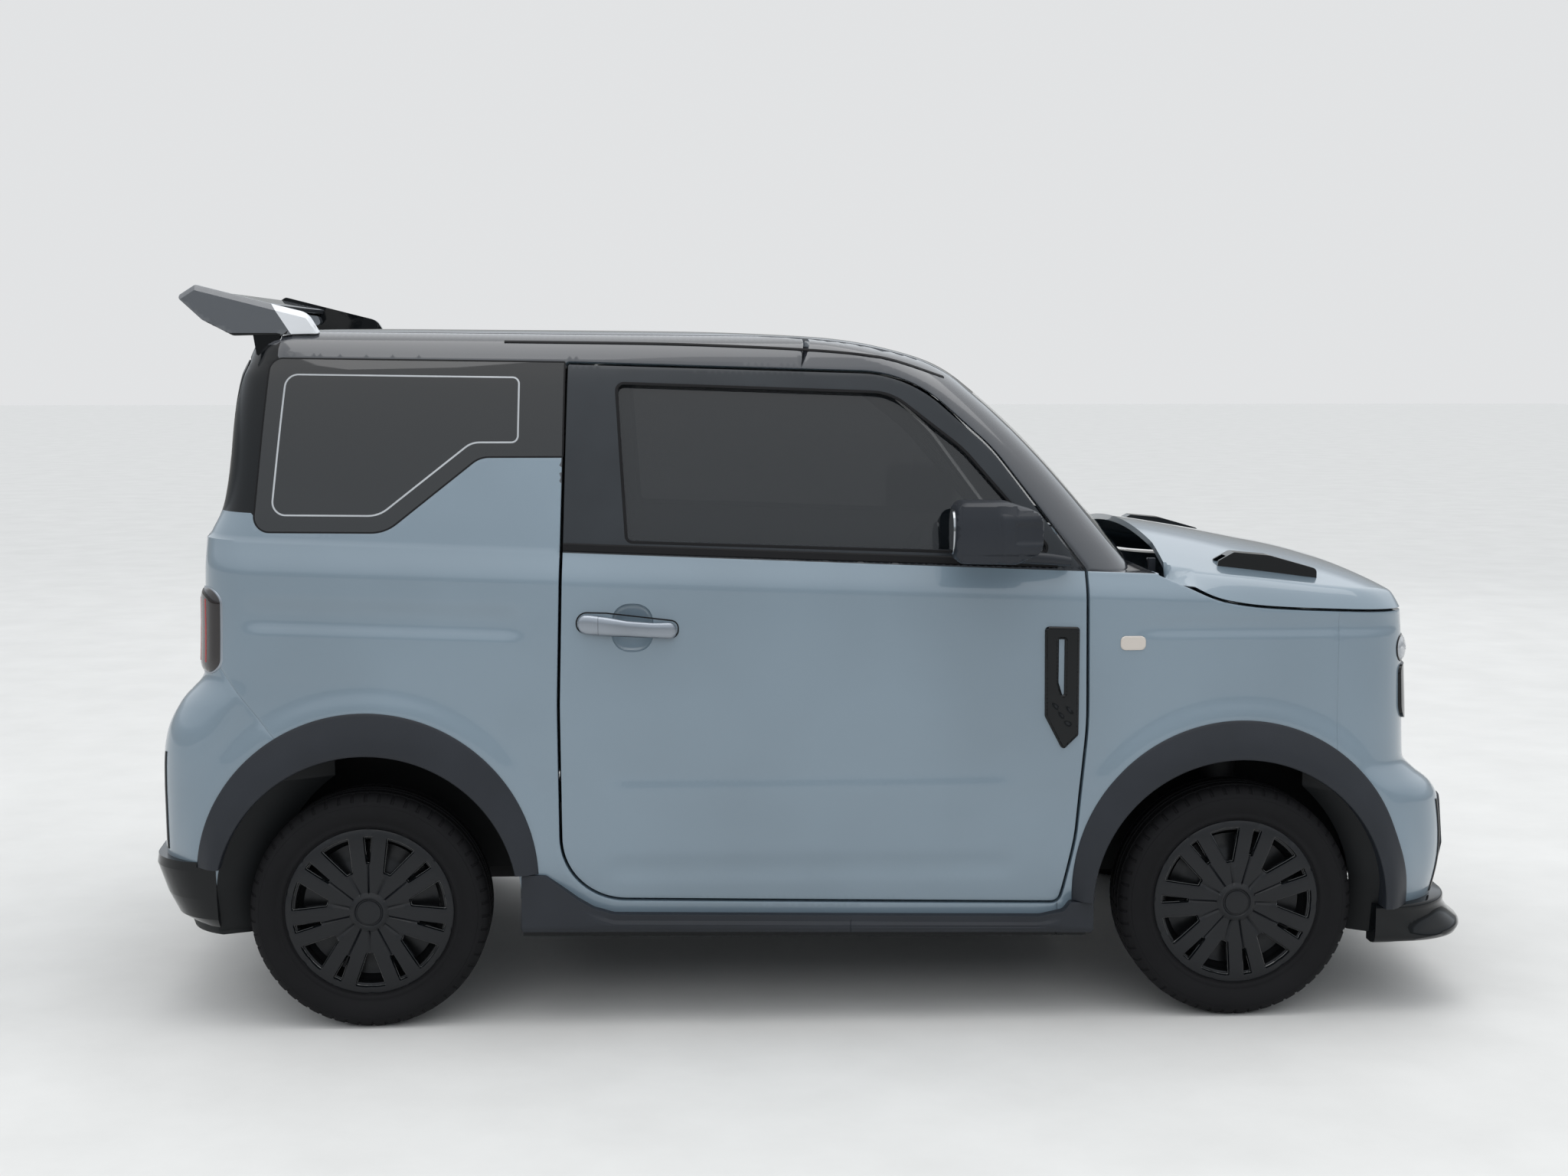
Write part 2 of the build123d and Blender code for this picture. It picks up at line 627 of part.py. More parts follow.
def make_tail_lamp():
    outline = [(-708, 826, 34), (-611, 826, 34), (-611, 1020, 34), (-708, 1020, 34)]
    return layer(LOWER_ROWS, -12, -FIT) & prism_x(outline, -FAR, REAR_AXLE_X - 200)


def make_wing(skin):
    """Two end plates on short legs, joined by a thin blade along their upper edge."""
    rear = REAR_AXLE_X - 435
    side = [
        (rear, 1682, 8),
        (rear + 42, 1709, 10),
        (rear + 220, 1664, 10),
        (rear + 296, 1645, 40),
        (rear + 324, 1597, 3),
        (rear + 128, 1592, 20),
        (rear + 58, 1628, 20),
    ]
    plate = prism_y(side, -566, -546)
    leg = prism_y([(rear + 182, 1550, 3), (rear + 178, 1600, 3), (rear + 226, 1600, 3), (rear + 230, 1550, 3)], -564, -548)
    plate = plate + (leg - skin)
    blade_side = [(rear + 14, 1676, 4), (rear + 40, 1700, 6), (rear + 150, 1674, 3), (rear + 144, 1662, 3)]
    blade = prism_y(blade_side, -546, 546)
    return plate + mirrored(plate) + blade


def make_mirror(skin):
    x0 = DOOR_FRONT_X - 327
    x1 = DOOR_FRONT_X - 124
    shell = [
        (x0, 1084, 26),
        (x0 + 4, 1222, 26),
        (x0 + 120, 1222, 60),
        (x1, 1196, 30),
        (x1 - 4, 1110, 40),
        (x1 - 60, 1082, 20),
    ]
    housing = prism_y(shell, -BODY_HALF - 140, -BODY_HALF - 6)
    housing = fillet(housing.edges().filter_by(lambda e: abs(e.center().Y + BODY_HALF + 140) < 0.5), 18)
    x2 = DOOR_FRONT_X - MIRROR_FOOT
    arm = [(x1 - 90, 1076, 5), (x1 - 90, 1108, 5), (x2 - 4, 1092, 5), (x2 - 4, 1066, 5)]
    plan = [(x1 - 90, -BODY_HALF - 30, 0), (x1 - 10, -BODY_HALF - 30, 30), (x2, -BODY_HALF + 6, 6)]
    plan = [*plan, (x2, -BODY_HALF + 60, 0), (x1 - 90, -BODY_HALF + 60, 0)]
    arm = prism_y(arm, -FAR, 0) & prism_z(plan, 1000, 1200)
    return (housing + arm) - skin


def make_door_fittings(skin):
    """The pull handle and the vent trim, each a solid on the door's skin."""
    x0 = DOOR_REAR_X + 47
    x1 = DOOR_REAR_X + 270
    bar = prism_y([(x0, 914, 16), (x0, 948, 16), (x1, 942, 16), (x1, 910, 16)], -BODY_HALF - 38, -BODY_HALF - 22)
    rear_foot = block(x0 + 2, x0 + 34, -BODY_HALF - 24, -600, 918, 944)
    front_foot = block(x1 - 30, x1 - 4, -BODY_HALF - 24, -600, 914, 938)
    handle = (bar + rear_foot + front_foot) - skin
    vent = [
        (DOOR_FRONT_X - 101, 712, 6),
        (DOOR_FRONT_X - 104, 926, 12),
        (DOOR_FRONT_X - 26, 930, 10),
        (DOOR_FRONT_X - 22, 680, 8),
        (DOOR_FRONT_X - 54, 646, 10),
        (DOOR_FRONT_X - 68, 650, 10),
    ]
    x2 = DOOR_FRONT_X - 73
    slot = [(x2, 778, 4), (x2, 900, 4), (x2 + 15, 900, 4), (x2 + 15, 778, 4)]
    trim = prism_y(vent, -BODY_HALF - 6, -600) - prism_y(slot, -FAR, 0) - skin
    return Compound(children=[*handle.solids(), *trim.solids()])


def make_floor(inside):
    """Flat floor, a kick up behind the seats and a raised floor over the rear axle, with side sills."""
    top = FLOOR_Z + FLOOR_SHEET
    tail = REAR_AXLE_X - 395
    profile = [
        (BULKHEAD_X - FIT, FLOOR_Z, 0),
        (BULKHEAD_X - FIT, top, 0),
        (KICK_X + FLOOR_SHEET, top, 0),
        (KICK_X + FLOOR_SHEET, REAR_FLOOR_Z + FLOOR_SHEET, 0),
        (tail, REAR_FLOOR_Z + FLOOR_SHEET, 0),
        (tail, REAR_FLOOR_Z, 0),
        (KICK_X, REAR_FLOOR_Z, 0),
        (KICK_X, FLOOR_Z, 0),
    ]
    inner = LINER_Y - LINER_SHEET - 1 - FIT
    floor = prism_y(profile, -inner, inner)
    side = CABIN_HALF - 8
    rear = REAR_AXLE_X + ARCH_RADIUS + 14
    front = FRONT_AXLE_X - ARCH_RADIUS - 14
    for sign in (-1, 1):
        y0, y1 = sorted((sign * inner, sign * side))
        s0, s1 = sorted((sign * (side - 70), sign * side))
        floor = floor + block(rear, front, y0, y1, FLOOR_Z, top) + block(rear, front, s0, s1, top, top + SILL_RISE)
        behind = REAR_AXLE_X - ARCH_RADIUS - 14
        floor = floor + block(tail, behind, y0, y1, REAR_FLOOR_Z, REAR_FLOOR_Z + FLOOR_SHEET)
        for x in JACK_XS:
            floor = floor + Pos(x, sign * JACK_Y, FLOOR_Z - JACK_DROP / 2 + 1) * Cylinder(JACK_RADIUS, JACK_DROP + 2)
    return floor & inside


def make_bulkhead(inside):
    """The wall ahead of the cabin, with the hinge pillars and the door hinges at its ends."""
    arches = arch_cut(ARCH_EDGE + LINER_SHEET + 2, LINER_Y - LINER_SHEET - 1)
    wall = block(BULKHEAD_X, BULKHEAD_X + 12, -CABIN_HALF, 0, FLOOR_Z, COWL_Z - 37)
    pillar = block(PILLAR_X, PILLAR_X + 60, -CABIN_HALF, -CABIN_HALF + 60, FLOOR_Z, COWL_Z - 40)
    half = ((wall + pillar) & inside) - arches
    for z in DOOR_HINGE_ZS:
        x, y = DOOR_HINGE_X, -DOOR_HINGE_Y
        strap = [(x - 6, y - 6, 5.5), (x - 6, y + 74, 8), (PILLAR_X + 4, y + 74, 0), (PILLAR_X + 4, y + 64, 0)]
        strap = [*strap, (x + 6, y + 64, 2), (x + 6, y - 6, 5.5)]
        half = half + prism_z(strap, z - STRAP / 2, z + STRAP / 2)
        half = half + Pos(x, y, z) * Cylinder(PIN_RADIUS, 4 * STRAP)
    return half + mirrored(half)


def make_cowl(inside):
    """The plastic tray between windscreen and bonnet, with the bonnet's hinge pins."""
    x, z = BONNET_HINGE
    tray = [
        (x - 100, COWL_Z - 37, 4),
        (x - 100, COWL_Z - 12, 4),
        (x - 25, COWL_Z, 10),
        (x + 12, COWL_Z, 4),
        (x + 12, COWL_Z - 37, 4),
    ]
    half = prism_y(tray, -CABIN_HALF, 0) & inside
    half = half + block(x - 8, x + 8, -554, -540, COWL_Z - 20, z + 7) + drum(x, -554, -503, z, PIN_RADIUS)
    return half + mirrored(half)


def make_liners(inside):
    """A sheet over each wheel, closed towards the middle of the car."""
    pieces = []
    for x, z, *_ in ARCHES:
        outer = drum(x, -CABIN_HALF, -LINER_Y + LINER_SHEET, z, ARCH_RADIUS + ARCH_EDGE + LINER_SHEET)
        inner = drum(x, -FAR, -LINER_Y, z, ARCH_RADIUS + ARCH_EDGE + FIT)
        liner = (outer - inner) - block(x - 500, x + 500, -FAR, 0, -FAR, z)
        pieces.append((liner - drum(x, -FAR, 0, HUB_Z, 45)) & inside)
    return pieces


def kingpin(z):
    """Y of the right-hand kingpin axis at a height."""
    return -BALL_Y + (z - BALL_Z) * tan(radians(KINGPIN_TILT))


def along_kingpin(z0, z1, radius):
    """A round bar on the right-hand kingpin axis between two heights."""
    middle = (z0 + z1) / 2
    length = (z1 - z0) / cos(radians(KINGPIN_TILT))
    return Pos(FRONT_AXLE_X, kingpin(middle), middle) * Rot(-KINGPIN_TILT, 0, 0) * Cylinder(radius, length)


def make_front_structure():
    """Front rails, cross beams, lower arms, and the two struts, which are solids of their own."""
    x = FRONT_AXLE_X
    rails = block(BULKHEAD_X + 12 + FIT, x + 400, -380, -300, 330, 420)
    beam = block(x + 400, x + 430, -560, 0, 330, 420)
    post = block(x - 40, x + 40, -370, -310, 200, 330)
    subframe = block(x - 70, x + 70, -380, 0, 160, 200)
    arm = block(x - 20, x + 20, -BALL_Y - 18, -380, 166, BALL_Z + 5)
    half = rails + beam + post + subframe + arm
    strut = along_kingpin(350, 560, 20) + along_kingpin(520, 590, 44)
    cap = Pos(x, kingpin(590), 605) * Cylinder(50, 38)
    roof_z = ARCHES[0][1] + ARCH_RADIUS + ARCH_EDGE
    strut = (strut + cap) - block(x - 200, x + 200, -FAR, 0, roof_z - 6, FAR)
    frame = half + mirrored(half)
    return Compound(children=[*frame.solids(), *strut.solids(), *mirrored(strut).solids()])


def make_knuckle():
    body = along_kingpin(BALL_Z + 10, 350 - FIT, KINGPIN_RADIUS)
    stub = drum(FRONT_AXLE_X, -DISC_Y - 14, kingpin(HUB_Z), HUB_Z, STUB_RADIUS)
    flange = drum(FRONT_AXLE_X, -DISC_Y + FIT, -DISC_Y + 12, HUB_Z, 60)
    return body + stub + flange


def make_rear_axle():
    """A beam behind the drive unit, with hub tubes, trailing arms and springs."""
    x = REAR_AXLE_X
    half = block(x - 180, x - 150, -335, 0, 245, 305) + block(x - 180, x + 40, -335, -300, 245, 305)
    half = half + drum(x, -DISC_Y + 12, -300, HUB_Z, 32) + drum(x, -DISC_Y - 14, -300, HUB_Z, STUB_RADIUS)
    half = half + drum(x, -DISC_Y + FIT, -DISC_Y + 12, HUB_Z, 60)
    half = half + block(x + 40, KICK_X - FIT, -335, -305, 255, 290)
    half = half + Pos(x - 60, -345, (305 + REAR_FLOOR_Z - FIT) / 2) * Cylinder(42, REAR_FLOOR_Z - FIT - 305)
    return half + mirrored(half)


def make_drive_unit():
    """One plain block that hangs between the axle's side plates."""
    body = block(REAR_AXLE_X - 150 + FIT, REAR_AXLE_X + 130, -300 + FIT, 300 - FIT, 190, 395)
    return fillet(body.edges().filter_by(Axis.Y), 40)


def make_battery():
    body = block(KICK_X + 90, BULKHEAD_X - 70, -470, 470, 160, FLOOR_Z - FIT)
    return chamfer(body.edges().group_by(Axis.Z)[0], 12)


def make_tyre(x, side):
    """A tyre as a turned section: bead, bulged wall, rounded shoulder and flat tread."""
    half = TYRE_WIDTH / 2
    section = [
        (RIM_RADIUS, -half + 20, 2),
        (RIM_RADIUS + 18, -half + 18, 4),
        (RIM_RADIUS + 45, -half, 60),
        (TYRE_RADIUS - 8, -half + 8, 18),
        (TYRE_RADIUS, -half + 30, 30),
    ]
    section = [*section, *[(r, -y, c) for r, y, c in reversed(section)]]
    face = Face(Wire(outline_edges(section, lambda r, y: Vector(x, side * TYRE_MID_Y + y, HUB_Z + r))))
    return Solid.revolve(face, 360, Axis((x, 0, HUB_Z), (0, 1, 0)))


def make_wheel(x, side):
    """A drop-centre rim, its disc and the outer cover with seven pairs of spokes."""

    def turned(section):
        face = Face(Wire(outline_edges(section, lambda r, y: Vector(x, side * (TYRE_MID_Y + y), HUB_Z + r))))
        return Solid.revolve(face, 360, Axis((x, 0, HUB_Z), (0, 1, 0)))

    r = RIM_RADIUS - FIT
    disc = DISC_Y - TYRE_MID_Y
    seat = TYRE_WIDTH / 2 - 17
    bore = STUB_RADIUS + RUNNING
    barrel = [(r - 7, -60, 0), (r, -60, 0), (r, -30, 6), (r - 14, -20, 6), (r - 14, 20, 6), (r, 30, 6), (r, 61, 0)]
    barrel = [*barrel, (r - 7, 61, 0), (r - 7, 32, 6), (r - 21, 22, 6), (r - 21, -22, 6), (r - 7, -32, 6)]
    plate = turned([(bore, disc, 0), (r - 18, disc, 0), (r - 18, disc + 8, 0), (bore, disc + 8, 0)])
    face = [(COVER_RADIUS, seat, 0), (COVER_RADIUS, seat + 2.5, 2), (r - 4, seat + 8.5, 6)]
    face = [*face, (52, seat + 6.5, 6), (44, seat + 14.5, 4), (0, seat + 14.5, 0)]
    cover = turned([(0, seat + 0.5, 0), *face])
    for k in range(SPOKE_PAIRS):
        turn = 360 / SPOKE_PAIRS
        slots = [(k * turn, 70, 3.0, 7.0), ((k + 0.5) * turn, 84, 10.0, 46.0)]
        for angle, near, wide_in, wide_out in slots:
            slot = [(wide_in, near, 2), (wide_out, 158, 5), (-wide_out, 158, 5), (-wide_in, near, 2)]
            cutter = prism_y([(x + u, HUB_Z + v, c) for u, v, c in slot], side * TYRE_MID_Y, side * (TYRE_MID_Y + 100))
            cover = cover - cutter.rotate(Axis((x, 0, HUB_Z), (0, 1, 0)), angle)
    hub = turned([(bore, disc, 0), (40, disc, 0), (40, seat + 1.5, 0), (bore, seat + 1.5, 0)])
    return turned(barrel) + plate + hub + cover


def on_column(shape):
    """A shape drawn round the steering column's own axis, put in its place."""
    return Pos(*STEERING_WHEEL) * Rot(0, STEERING_TILT, 0) * Rot(0, 90, 0) * shape


def make_dashboard():
    front = BULKHEAD_X - FIT
    profile = [
        (front, 660, 20),
        (front - 180, 640, 40),
        (front - 270, 760, 40),
        (front - 300, 900, 40),
        (front - 230, 975, 50),
        (front - 20, 1000, 20),
        (front, 985, 4),
    ]
    board = prism_y(profile, -CABIN_HALF + 62, CABIN_HALF - 62)
    return board + on_column(Pos(0, 0, 90 + FIT) * Cylinder(28, 150))


def make_steering_wheel():
    """Rim, three spokes and a boss, about a column that slopes down and forwards."""
    spokes = Box(40, 340, 12) + Pos(85, 0, 0) * Box(170, 40, 12)
    return on_column(Torus(178, 14) + Cylinder(48, 30) + (spokes & Cylinder(176, 20)))


def make_seat(y):
    """A front seat as one side profile with rounded corners."""
    x = REAR_AXLE_X + 905
    top = FLOOR_Z + FLOOR_SHEET + FIT
    profile = [
        (x - 220, top, 10),
        (x + 230, top, 10),
        (x + 290, top + 230, 60),
        (x + 250, top + 290, 40),
        (x - 130, top + 240, 40),
        (x - 290, top + 790, 30),
        (x - 300, top + 960, 40),
        (x - 390, top + 950, 40),
        (x - 400, top + 760, 40),
        (x - 260, top + 180, 60),
    ]
    body = prism_y(profile, y - 245, y + 245)
    for side in (-1, 1):
        y0, y1 = sorted((y + side * 125, y + side * 300))
        body = body - block(x - 450, x - 250, y0, y1, top + 790, top + 1100)
    return body


def make_bench():
    x = KICK_X + FLOOR_SHEET
    top = REAR_FLOOR_Z + FLOOR_SHEET + FIT
    profile = [
        (x - 330, top, 10),
        (x + 90, top, 10),
        (x + 120, top + 130, 50),
        (x - 210, top + 100, 40),
        (x - 330, top + 560, 60),
        (x - 430, top + 540, 40),
        (x - 360, top + 60, 60),
    ]
    return prism_y(profile, -LINER_Y + 15, LINER_Y - 15)


def main():
    os.makedirs("parts", exist_ok=True)
    shell = make_shell()
    right = shell & block(-FAR, FAR, -FAR, 0, 0, FAR)
    core = hull(SIDE_WALL / 2, ROOF_WALL / 2, NOSE_WALL / 2, True)
    inside = hull(SIDE_WALL + FIT, ROOF_WALL + FIT, NOSE_WALL + FIT, True)
    skin = hull(-FIT, -FIT, -FIT)
    right_skin = skin & block(-FAR, FAR, -FAR, 0, 0, FAR)
    skin_low = loft(LOWER_ROWS, -FIT)
    arches = arch_cut()

    door, door_pane = make_door(right, core)
    write_pair("door", door)
    write_pair("door_glass", door_pane)
    write_pair("door_mirror", make_mirror(right_skin))
    write_pair("door_fittings", make_door_fittings(skin_low))
    write_pair("side_frame", make_side(right, arches))
    write_pair("fender", make_fender(right, arches))
    quarter = layer(GLASSHOUSE_ROWS, 0, GLASS) & prism_y(QUARTER_PANE, -FAR, -300)
    write("quarter_glasses", both(quarter))
    write("bonnet", make_bonnet(shell))
    write("bonnet_scoops", both(make_scoops(right_skin)))
    front_bumper, rear_bumper = make_bumpers(shell, arches)
    write("front_bumper", front_bumper)
    write("rear_bumper", rear_bumper)
    tailgate, tailgate_pane = make_tailgate(shell)
    write("tailgate", tailgate)
    write("tailgate_glass", tailgate_pane)
    write("roof_panel", make_roof(shell))
    pane = layer(GLASSHOUSE_ROWS, 0, GLASS) & prism_x(WINDSCREEN, FRONT_AXLE_X - 760, FAR)
    write("windscreen", pane)

    flares = [piece for flare in make_flares(skin_low) for piece in flare.solids()]
    write("wheel_arch_flares", both(Compound(children=flares)))
    write("side_skirts", both(make_skirt(skin_low)))
    front_lip, rear_skirt = make_aprons(skin_low)
    write("front_lip", front_lip)
    write("rear_skirt", rear_skirt)
    band, lamps, grille = make_nose_trim()
    write("nose_band", band)
    write("headlamps", lamps)
    write("lower_grille", grille)
    write("tail_lamps", both(make_tail_lamp()))
    write("roof_wing", make_wing(skin))

    write("floor_pan", make_floor(inside))
    write("bulkhead", make_bulkhead(inside))
    write("cowl_panel", make_cowl(inside))
    for end, liner in zip(("front", "rear"), make_liners(inside)):
        write(f"arch_liners_{end}", both(liner))
    write("front_structure", make_front_structure())
    write("rear_axle", make_rear_axle())
    write("drive_unit", make_drive_unit())
    write("battery_pack", make_battery())
    write_pair("knuckle", make_knuckle())
    for end, x in (("front", FRONT_AXLE_X), ("rear", REAR_AXLE_X)):
        for name, side in (("right", -1), ("left", 1)):
            write(f"tyre_{end}_{name}", make_tyre(x, side))
            write(f"wheel_{end}_{name}", make_wheel(x, side))

    write("dashboard", make_dashboard())
    write("steering_wheel", make_steering_wheel())
    write("front_seats", both(make_seat(-330)))
    write("rear_bench", make_bench())


if __name__ == "__main__":
    main()
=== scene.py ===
# %% [markdown]
# # A small city car
#
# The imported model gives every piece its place. This scene dresses it: the painted panels are drawn again
# as smooth surfaces, and glass, trim, wheels and cabin get their finer shapes and their finishes.

import bpy
import bmesh
from collections import namedtuple
from math import asin, atan2, ceil, cos, hypot, pi, radians, sin, tan
import numpy as np
from mathutils import Matrix, Vector
from mathutils.geometry import delaunay_2d_cdt


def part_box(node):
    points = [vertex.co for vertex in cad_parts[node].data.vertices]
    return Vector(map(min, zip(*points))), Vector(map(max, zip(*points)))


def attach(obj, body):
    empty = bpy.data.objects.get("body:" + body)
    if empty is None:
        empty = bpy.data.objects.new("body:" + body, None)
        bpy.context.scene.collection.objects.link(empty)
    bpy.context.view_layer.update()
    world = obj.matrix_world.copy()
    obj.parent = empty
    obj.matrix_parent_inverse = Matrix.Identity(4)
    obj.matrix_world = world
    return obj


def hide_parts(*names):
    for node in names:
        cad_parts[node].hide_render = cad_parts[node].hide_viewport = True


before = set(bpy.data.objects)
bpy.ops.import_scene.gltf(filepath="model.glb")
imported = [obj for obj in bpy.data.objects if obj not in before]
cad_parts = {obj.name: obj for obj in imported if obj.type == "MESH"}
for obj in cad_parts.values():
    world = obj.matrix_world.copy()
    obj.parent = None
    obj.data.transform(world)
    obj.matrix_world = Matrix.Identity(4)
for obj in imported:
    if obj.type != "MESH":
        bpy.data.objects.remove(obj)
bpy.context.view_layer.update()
scene = bpy.context.scene

# %% [markdown]
# ## Camera
#
# A phone held at chest height, a little over five metres off the car's right side, looking slightly down.
# The numbers come from the wheels: their hubs and covers fix where the camera must have stood.

# %% Camera
camera_data = bpy.data.cameras.new("camera")
camera = bpy.data.objects.new("camera", camera_data)
scene.collection.objects.link(camera)
scene.camera = camera
camera_data.sensor_width = 36.0
camera_data.lens = 48.09
camera_data.clip_end = 200.0
camera.location = (-0.300, -5.473, 1.549)
camera.rotation_euler = (radians(90 - 6.36), 0, radians(-2.586))

# %% [markdown]
# ## Small helpers for finishes
#
# A finish is a material whose colour, roughness and grain are worked out by nodes. Two small classes let
# those nodes be written as plain arithmetic.


# %% Small helpers for finishes
class Wire:
    """A socket with arithmetic: a * b + 1 adds the Math nodes that work it out."""

    def __init__(self, tree, socket):
        self.tree = tree
        self.socket = socket

    def math(self, operation, *others):
        node = self.tree.nodes.new("ShaderNodeMath")
        node.operation = operation
        for slot_in, value in zip(node.inputs, (self, *others)):
            plug(self.tree, slot_in, value)
        return Wire(self.tree, node.outputs[0])

    def __add__(self, other):
        return self.math("ADD", other)

    __radd__ = __add__

    def __mul__(self, other):
        return self.math("MULTIPLY", other)


def plug(tree, socket, value):
    if isinstance(value, Wire):
        tree.links.new(value.socket, socket)
    else:
        socket.default_value = value


def set_stops(ramp, stops):
    """Fills a colour ramp with (place, colour) stops."""
    while len(ramp.elements) < len(stops):
        ramp.elements.new(0.5)
    for element, (at, color) in zip(ramp.elements, stops):
        element.position = at
        element.color = (*color, 1.0)


class Finish:
    """A material being made: set() fills a socket of its shader, node() adds any other node."""

    def __init__(self, name, color, rough, metal=0.0, **sockets):
        self.material = bpy.data.materials.new(name)
        self.material.use_nodes = True
        self.tree = self.material.node_tree
        self.shader = self.tree.nodes["Principled BSDF"]
        self.set("Base Color", (*color, 1.0))
        self.set("Roughness", rough)
        self.set("Metallic", metal)
        for key, value in sockets.items():
            self.set(key.replace("_", " "), value)

    def set(self, socket, value):
        plug(self.tree, self.shader.inputs[socket], value)

    def node(self, kind, out=0, **sockets):
        node = self.tree.nodes.new("ShaderNode" + kind)
        for key, value in sockets.items():
            plug(self.tree, node.inputs[key.replace("_", " ")], value)
        return Wire(self.tree, node.outputs[out])

    def place(self):
        return self.node("TexCoord", "Object")

    def noise(self, scale, detail, rough):
        where = self.place()
        return self.node("TexNoise", "Fac", Vector=where, Scale=scale, Detail=detail, Roughness=rough)

    def ramp(self, value, *stops):
        """A colour ramp of (place, colour) stops."""
        ramp = self.node("ValToRGB", Fac=value)
        set_stops(ramp.socket.node.color_ramp, stops)
        return ramp

    def bump(self, height, strength, distance):
        self.set("Normal", self.node("Bump", Height=height, Strength=strength, Distance=distance))


# %% [markdown]
# ## Floor, light and world
#
# A plain pale floor keeps the shadow and nothing else. An even white sky gives the broad soft light of an
# overcast day, and three large lamps draw the long highlights that show how a painted panel curves.


# %% Floor, light and world
SEEN_SKY = (0.80, 0.81, 0.82, 1)


def sky():
    """White above, paler blue low down and a dark band at the horizon. The camera sees one even tone."""
    world = bpy.data.worlds.new("sky")
    scene.world = world
    world.use_nodes = True
    tree = world.node_tree
    nodes, links = tree.nodes, tree.links
    where = nodes.new("ShaderNodeTexCoord")
    parts = nodes.new("ShaderNodeSeparateXYZ")
    links.new(where.outputs["Generated"], parts.inputs[0])
    ramp = nodes.new("ShaderNodeValToRGB")
    links.new(parts.outputs["Z"], ramp.inputs[0])
    stops = [
        (0.00, (0.30, 0.30, 0.29)),
        (0.06, (0.33, 0.34, 0.34)),
        (0.15, (0.42, 0.45, 0.48)),
        (0.20, (0.86, 0.92, 0.98)),
        (0.60, (1.10, 1.13, 1.16)),
        (1.00, (1.30, 1.30, 1.30)),
    ]
    set_stops(ramp.color_ramp, stops)
    light_path = nodes.new("ShaderNodeLightPath")
    mix = nodes.new("ShaderNodeMix")
    mix.data_type = "RGBA"
    mix.inputs[7].default_value = SEEN_SKY
    links.new(light_path.outputs["Is Camera Ray"], mix.inputs[0])
    links.new(ramp.outputs[0], mix.inputs[6])
    links.new(mix.outputs[2], tree.nodes["Background"].inputs["Color"])
    tree.nodes["Background"].inputs["Strength"].default_value = 0.95


def soft_lamp(name, place, aim, width, height, power, glossy=False):
    data = bpy.data.lights.new(name, "AREA")
    data.shape = "RECTANGLE"
    data.size = width
    data.size_y = height
    data.energy = power
    lamp = bpy.data.objects.new(name, data)
    scene.collection.objects.link(lamp)
    lamp.location = place
    lamp.visible_glossy = glossy
    lamp.rotation_euler = (Vector(aim) - Vector(place)).to_track_quat("-Z", "Y").to_euler()


sky()
soft_lamp("lamp_above", (0.3, -0.8, 5.0), (0, 0, 0.6), 6, 3.5, 90, True)
soft_lamp("lamp_right", (-1.5, -8.0, 4.4), (0, 0, 0.7), 7, 2.2, 60)
soft_lamp("lamp_left", (1.5, 8.0, 4.2), (0, 0, 0.7), 7, 2.5, 60)

floor_data = bpy.data.meshes.new("floor")
floor_data.from_pydata([(-60, -60, 0), (60, -60, 0), (60, 60, 0), (-60, 60, 0)], [], [(0, 1, 2, 3)])
floor = bpy.data.objects.new("floor", floor_data)
scene.collection.objects.link(floor)
concrete = Finish("pale_floor", (0.66, 0.66, 0.65), 0.85)
grain = concrete.noise(3.0, 6.0, 0.6)
concrete.set("Base Color", concrete.ramp(grain, (0.3, (0.64, 0.64, 0.63)), (0.7, (0.69, 0.69, 0.68))))
floor_data.materials.append(concrete.material)
scene.view_settings.view_transform = "Standard"

# %% [markdown]
# ## How the skin is drawn
#
# A body side is designed as level outlines stacked up its height, like contour lines. Each row below is one
# such outline. Between the rows a monotone cubic curve runs through every column, so the skin is smooth and
# never bulges past what the table says. Any point on the skin then has an address: a distance along the
# outline and a height. Panels are cut out on that flat map, where cutting is easy, and laid on the skin.

# %% Level outlines, in millimetres from the axles
REAR_X, FRONT_X, BODY_HALF, HUB_Z = -1040.5, 974.5, 748.0, 275.0
# Each row is a level and then these columns: the line's fall towards the front, how far the tail and the nose
# stand off the axles, the flank's tuck, the corner radii, the bows of the faces, and the sinking of the roof.
COLUMNS = "fall rear front tuck rear_r front_r rear_bow front_bow side_bow down".split()
LOWER_ROWS = [
    (200, 0.010, 447, 516, 36, 150, 170, 22, 25, 12, 0),
    (400, 0.010, 503, 549, 6, 150, 190, 24, 25, 12, 0),
    (520, 0.015, 503, 538, 3, 150, 190, 24, 25, 12, 0),
    (560, 0.020, 502, 520, 2, 150, 190, 24, 25, 12, 0),
    (600, 0.025, 499, 478, 0, 150, 190, 24, 25, 13, 0),
    (640, 0.030, 490, 449, 0, 150, 185, 24, 25, 14, 0),
    (700, 0.034, 458, 445, 0, 150, 180, 24, 25, 16, 0),
    (775, 0.034, 401, 440, 0, 140, 170, 24, 25, 18, 0),
    (1013, 0.034, 391, 424, 2, 120, 150, 24, 25, 22, 0),
    (1078, 0.040, 388, 366, 26, 110, 130, 24, 25, 22, 0),
]
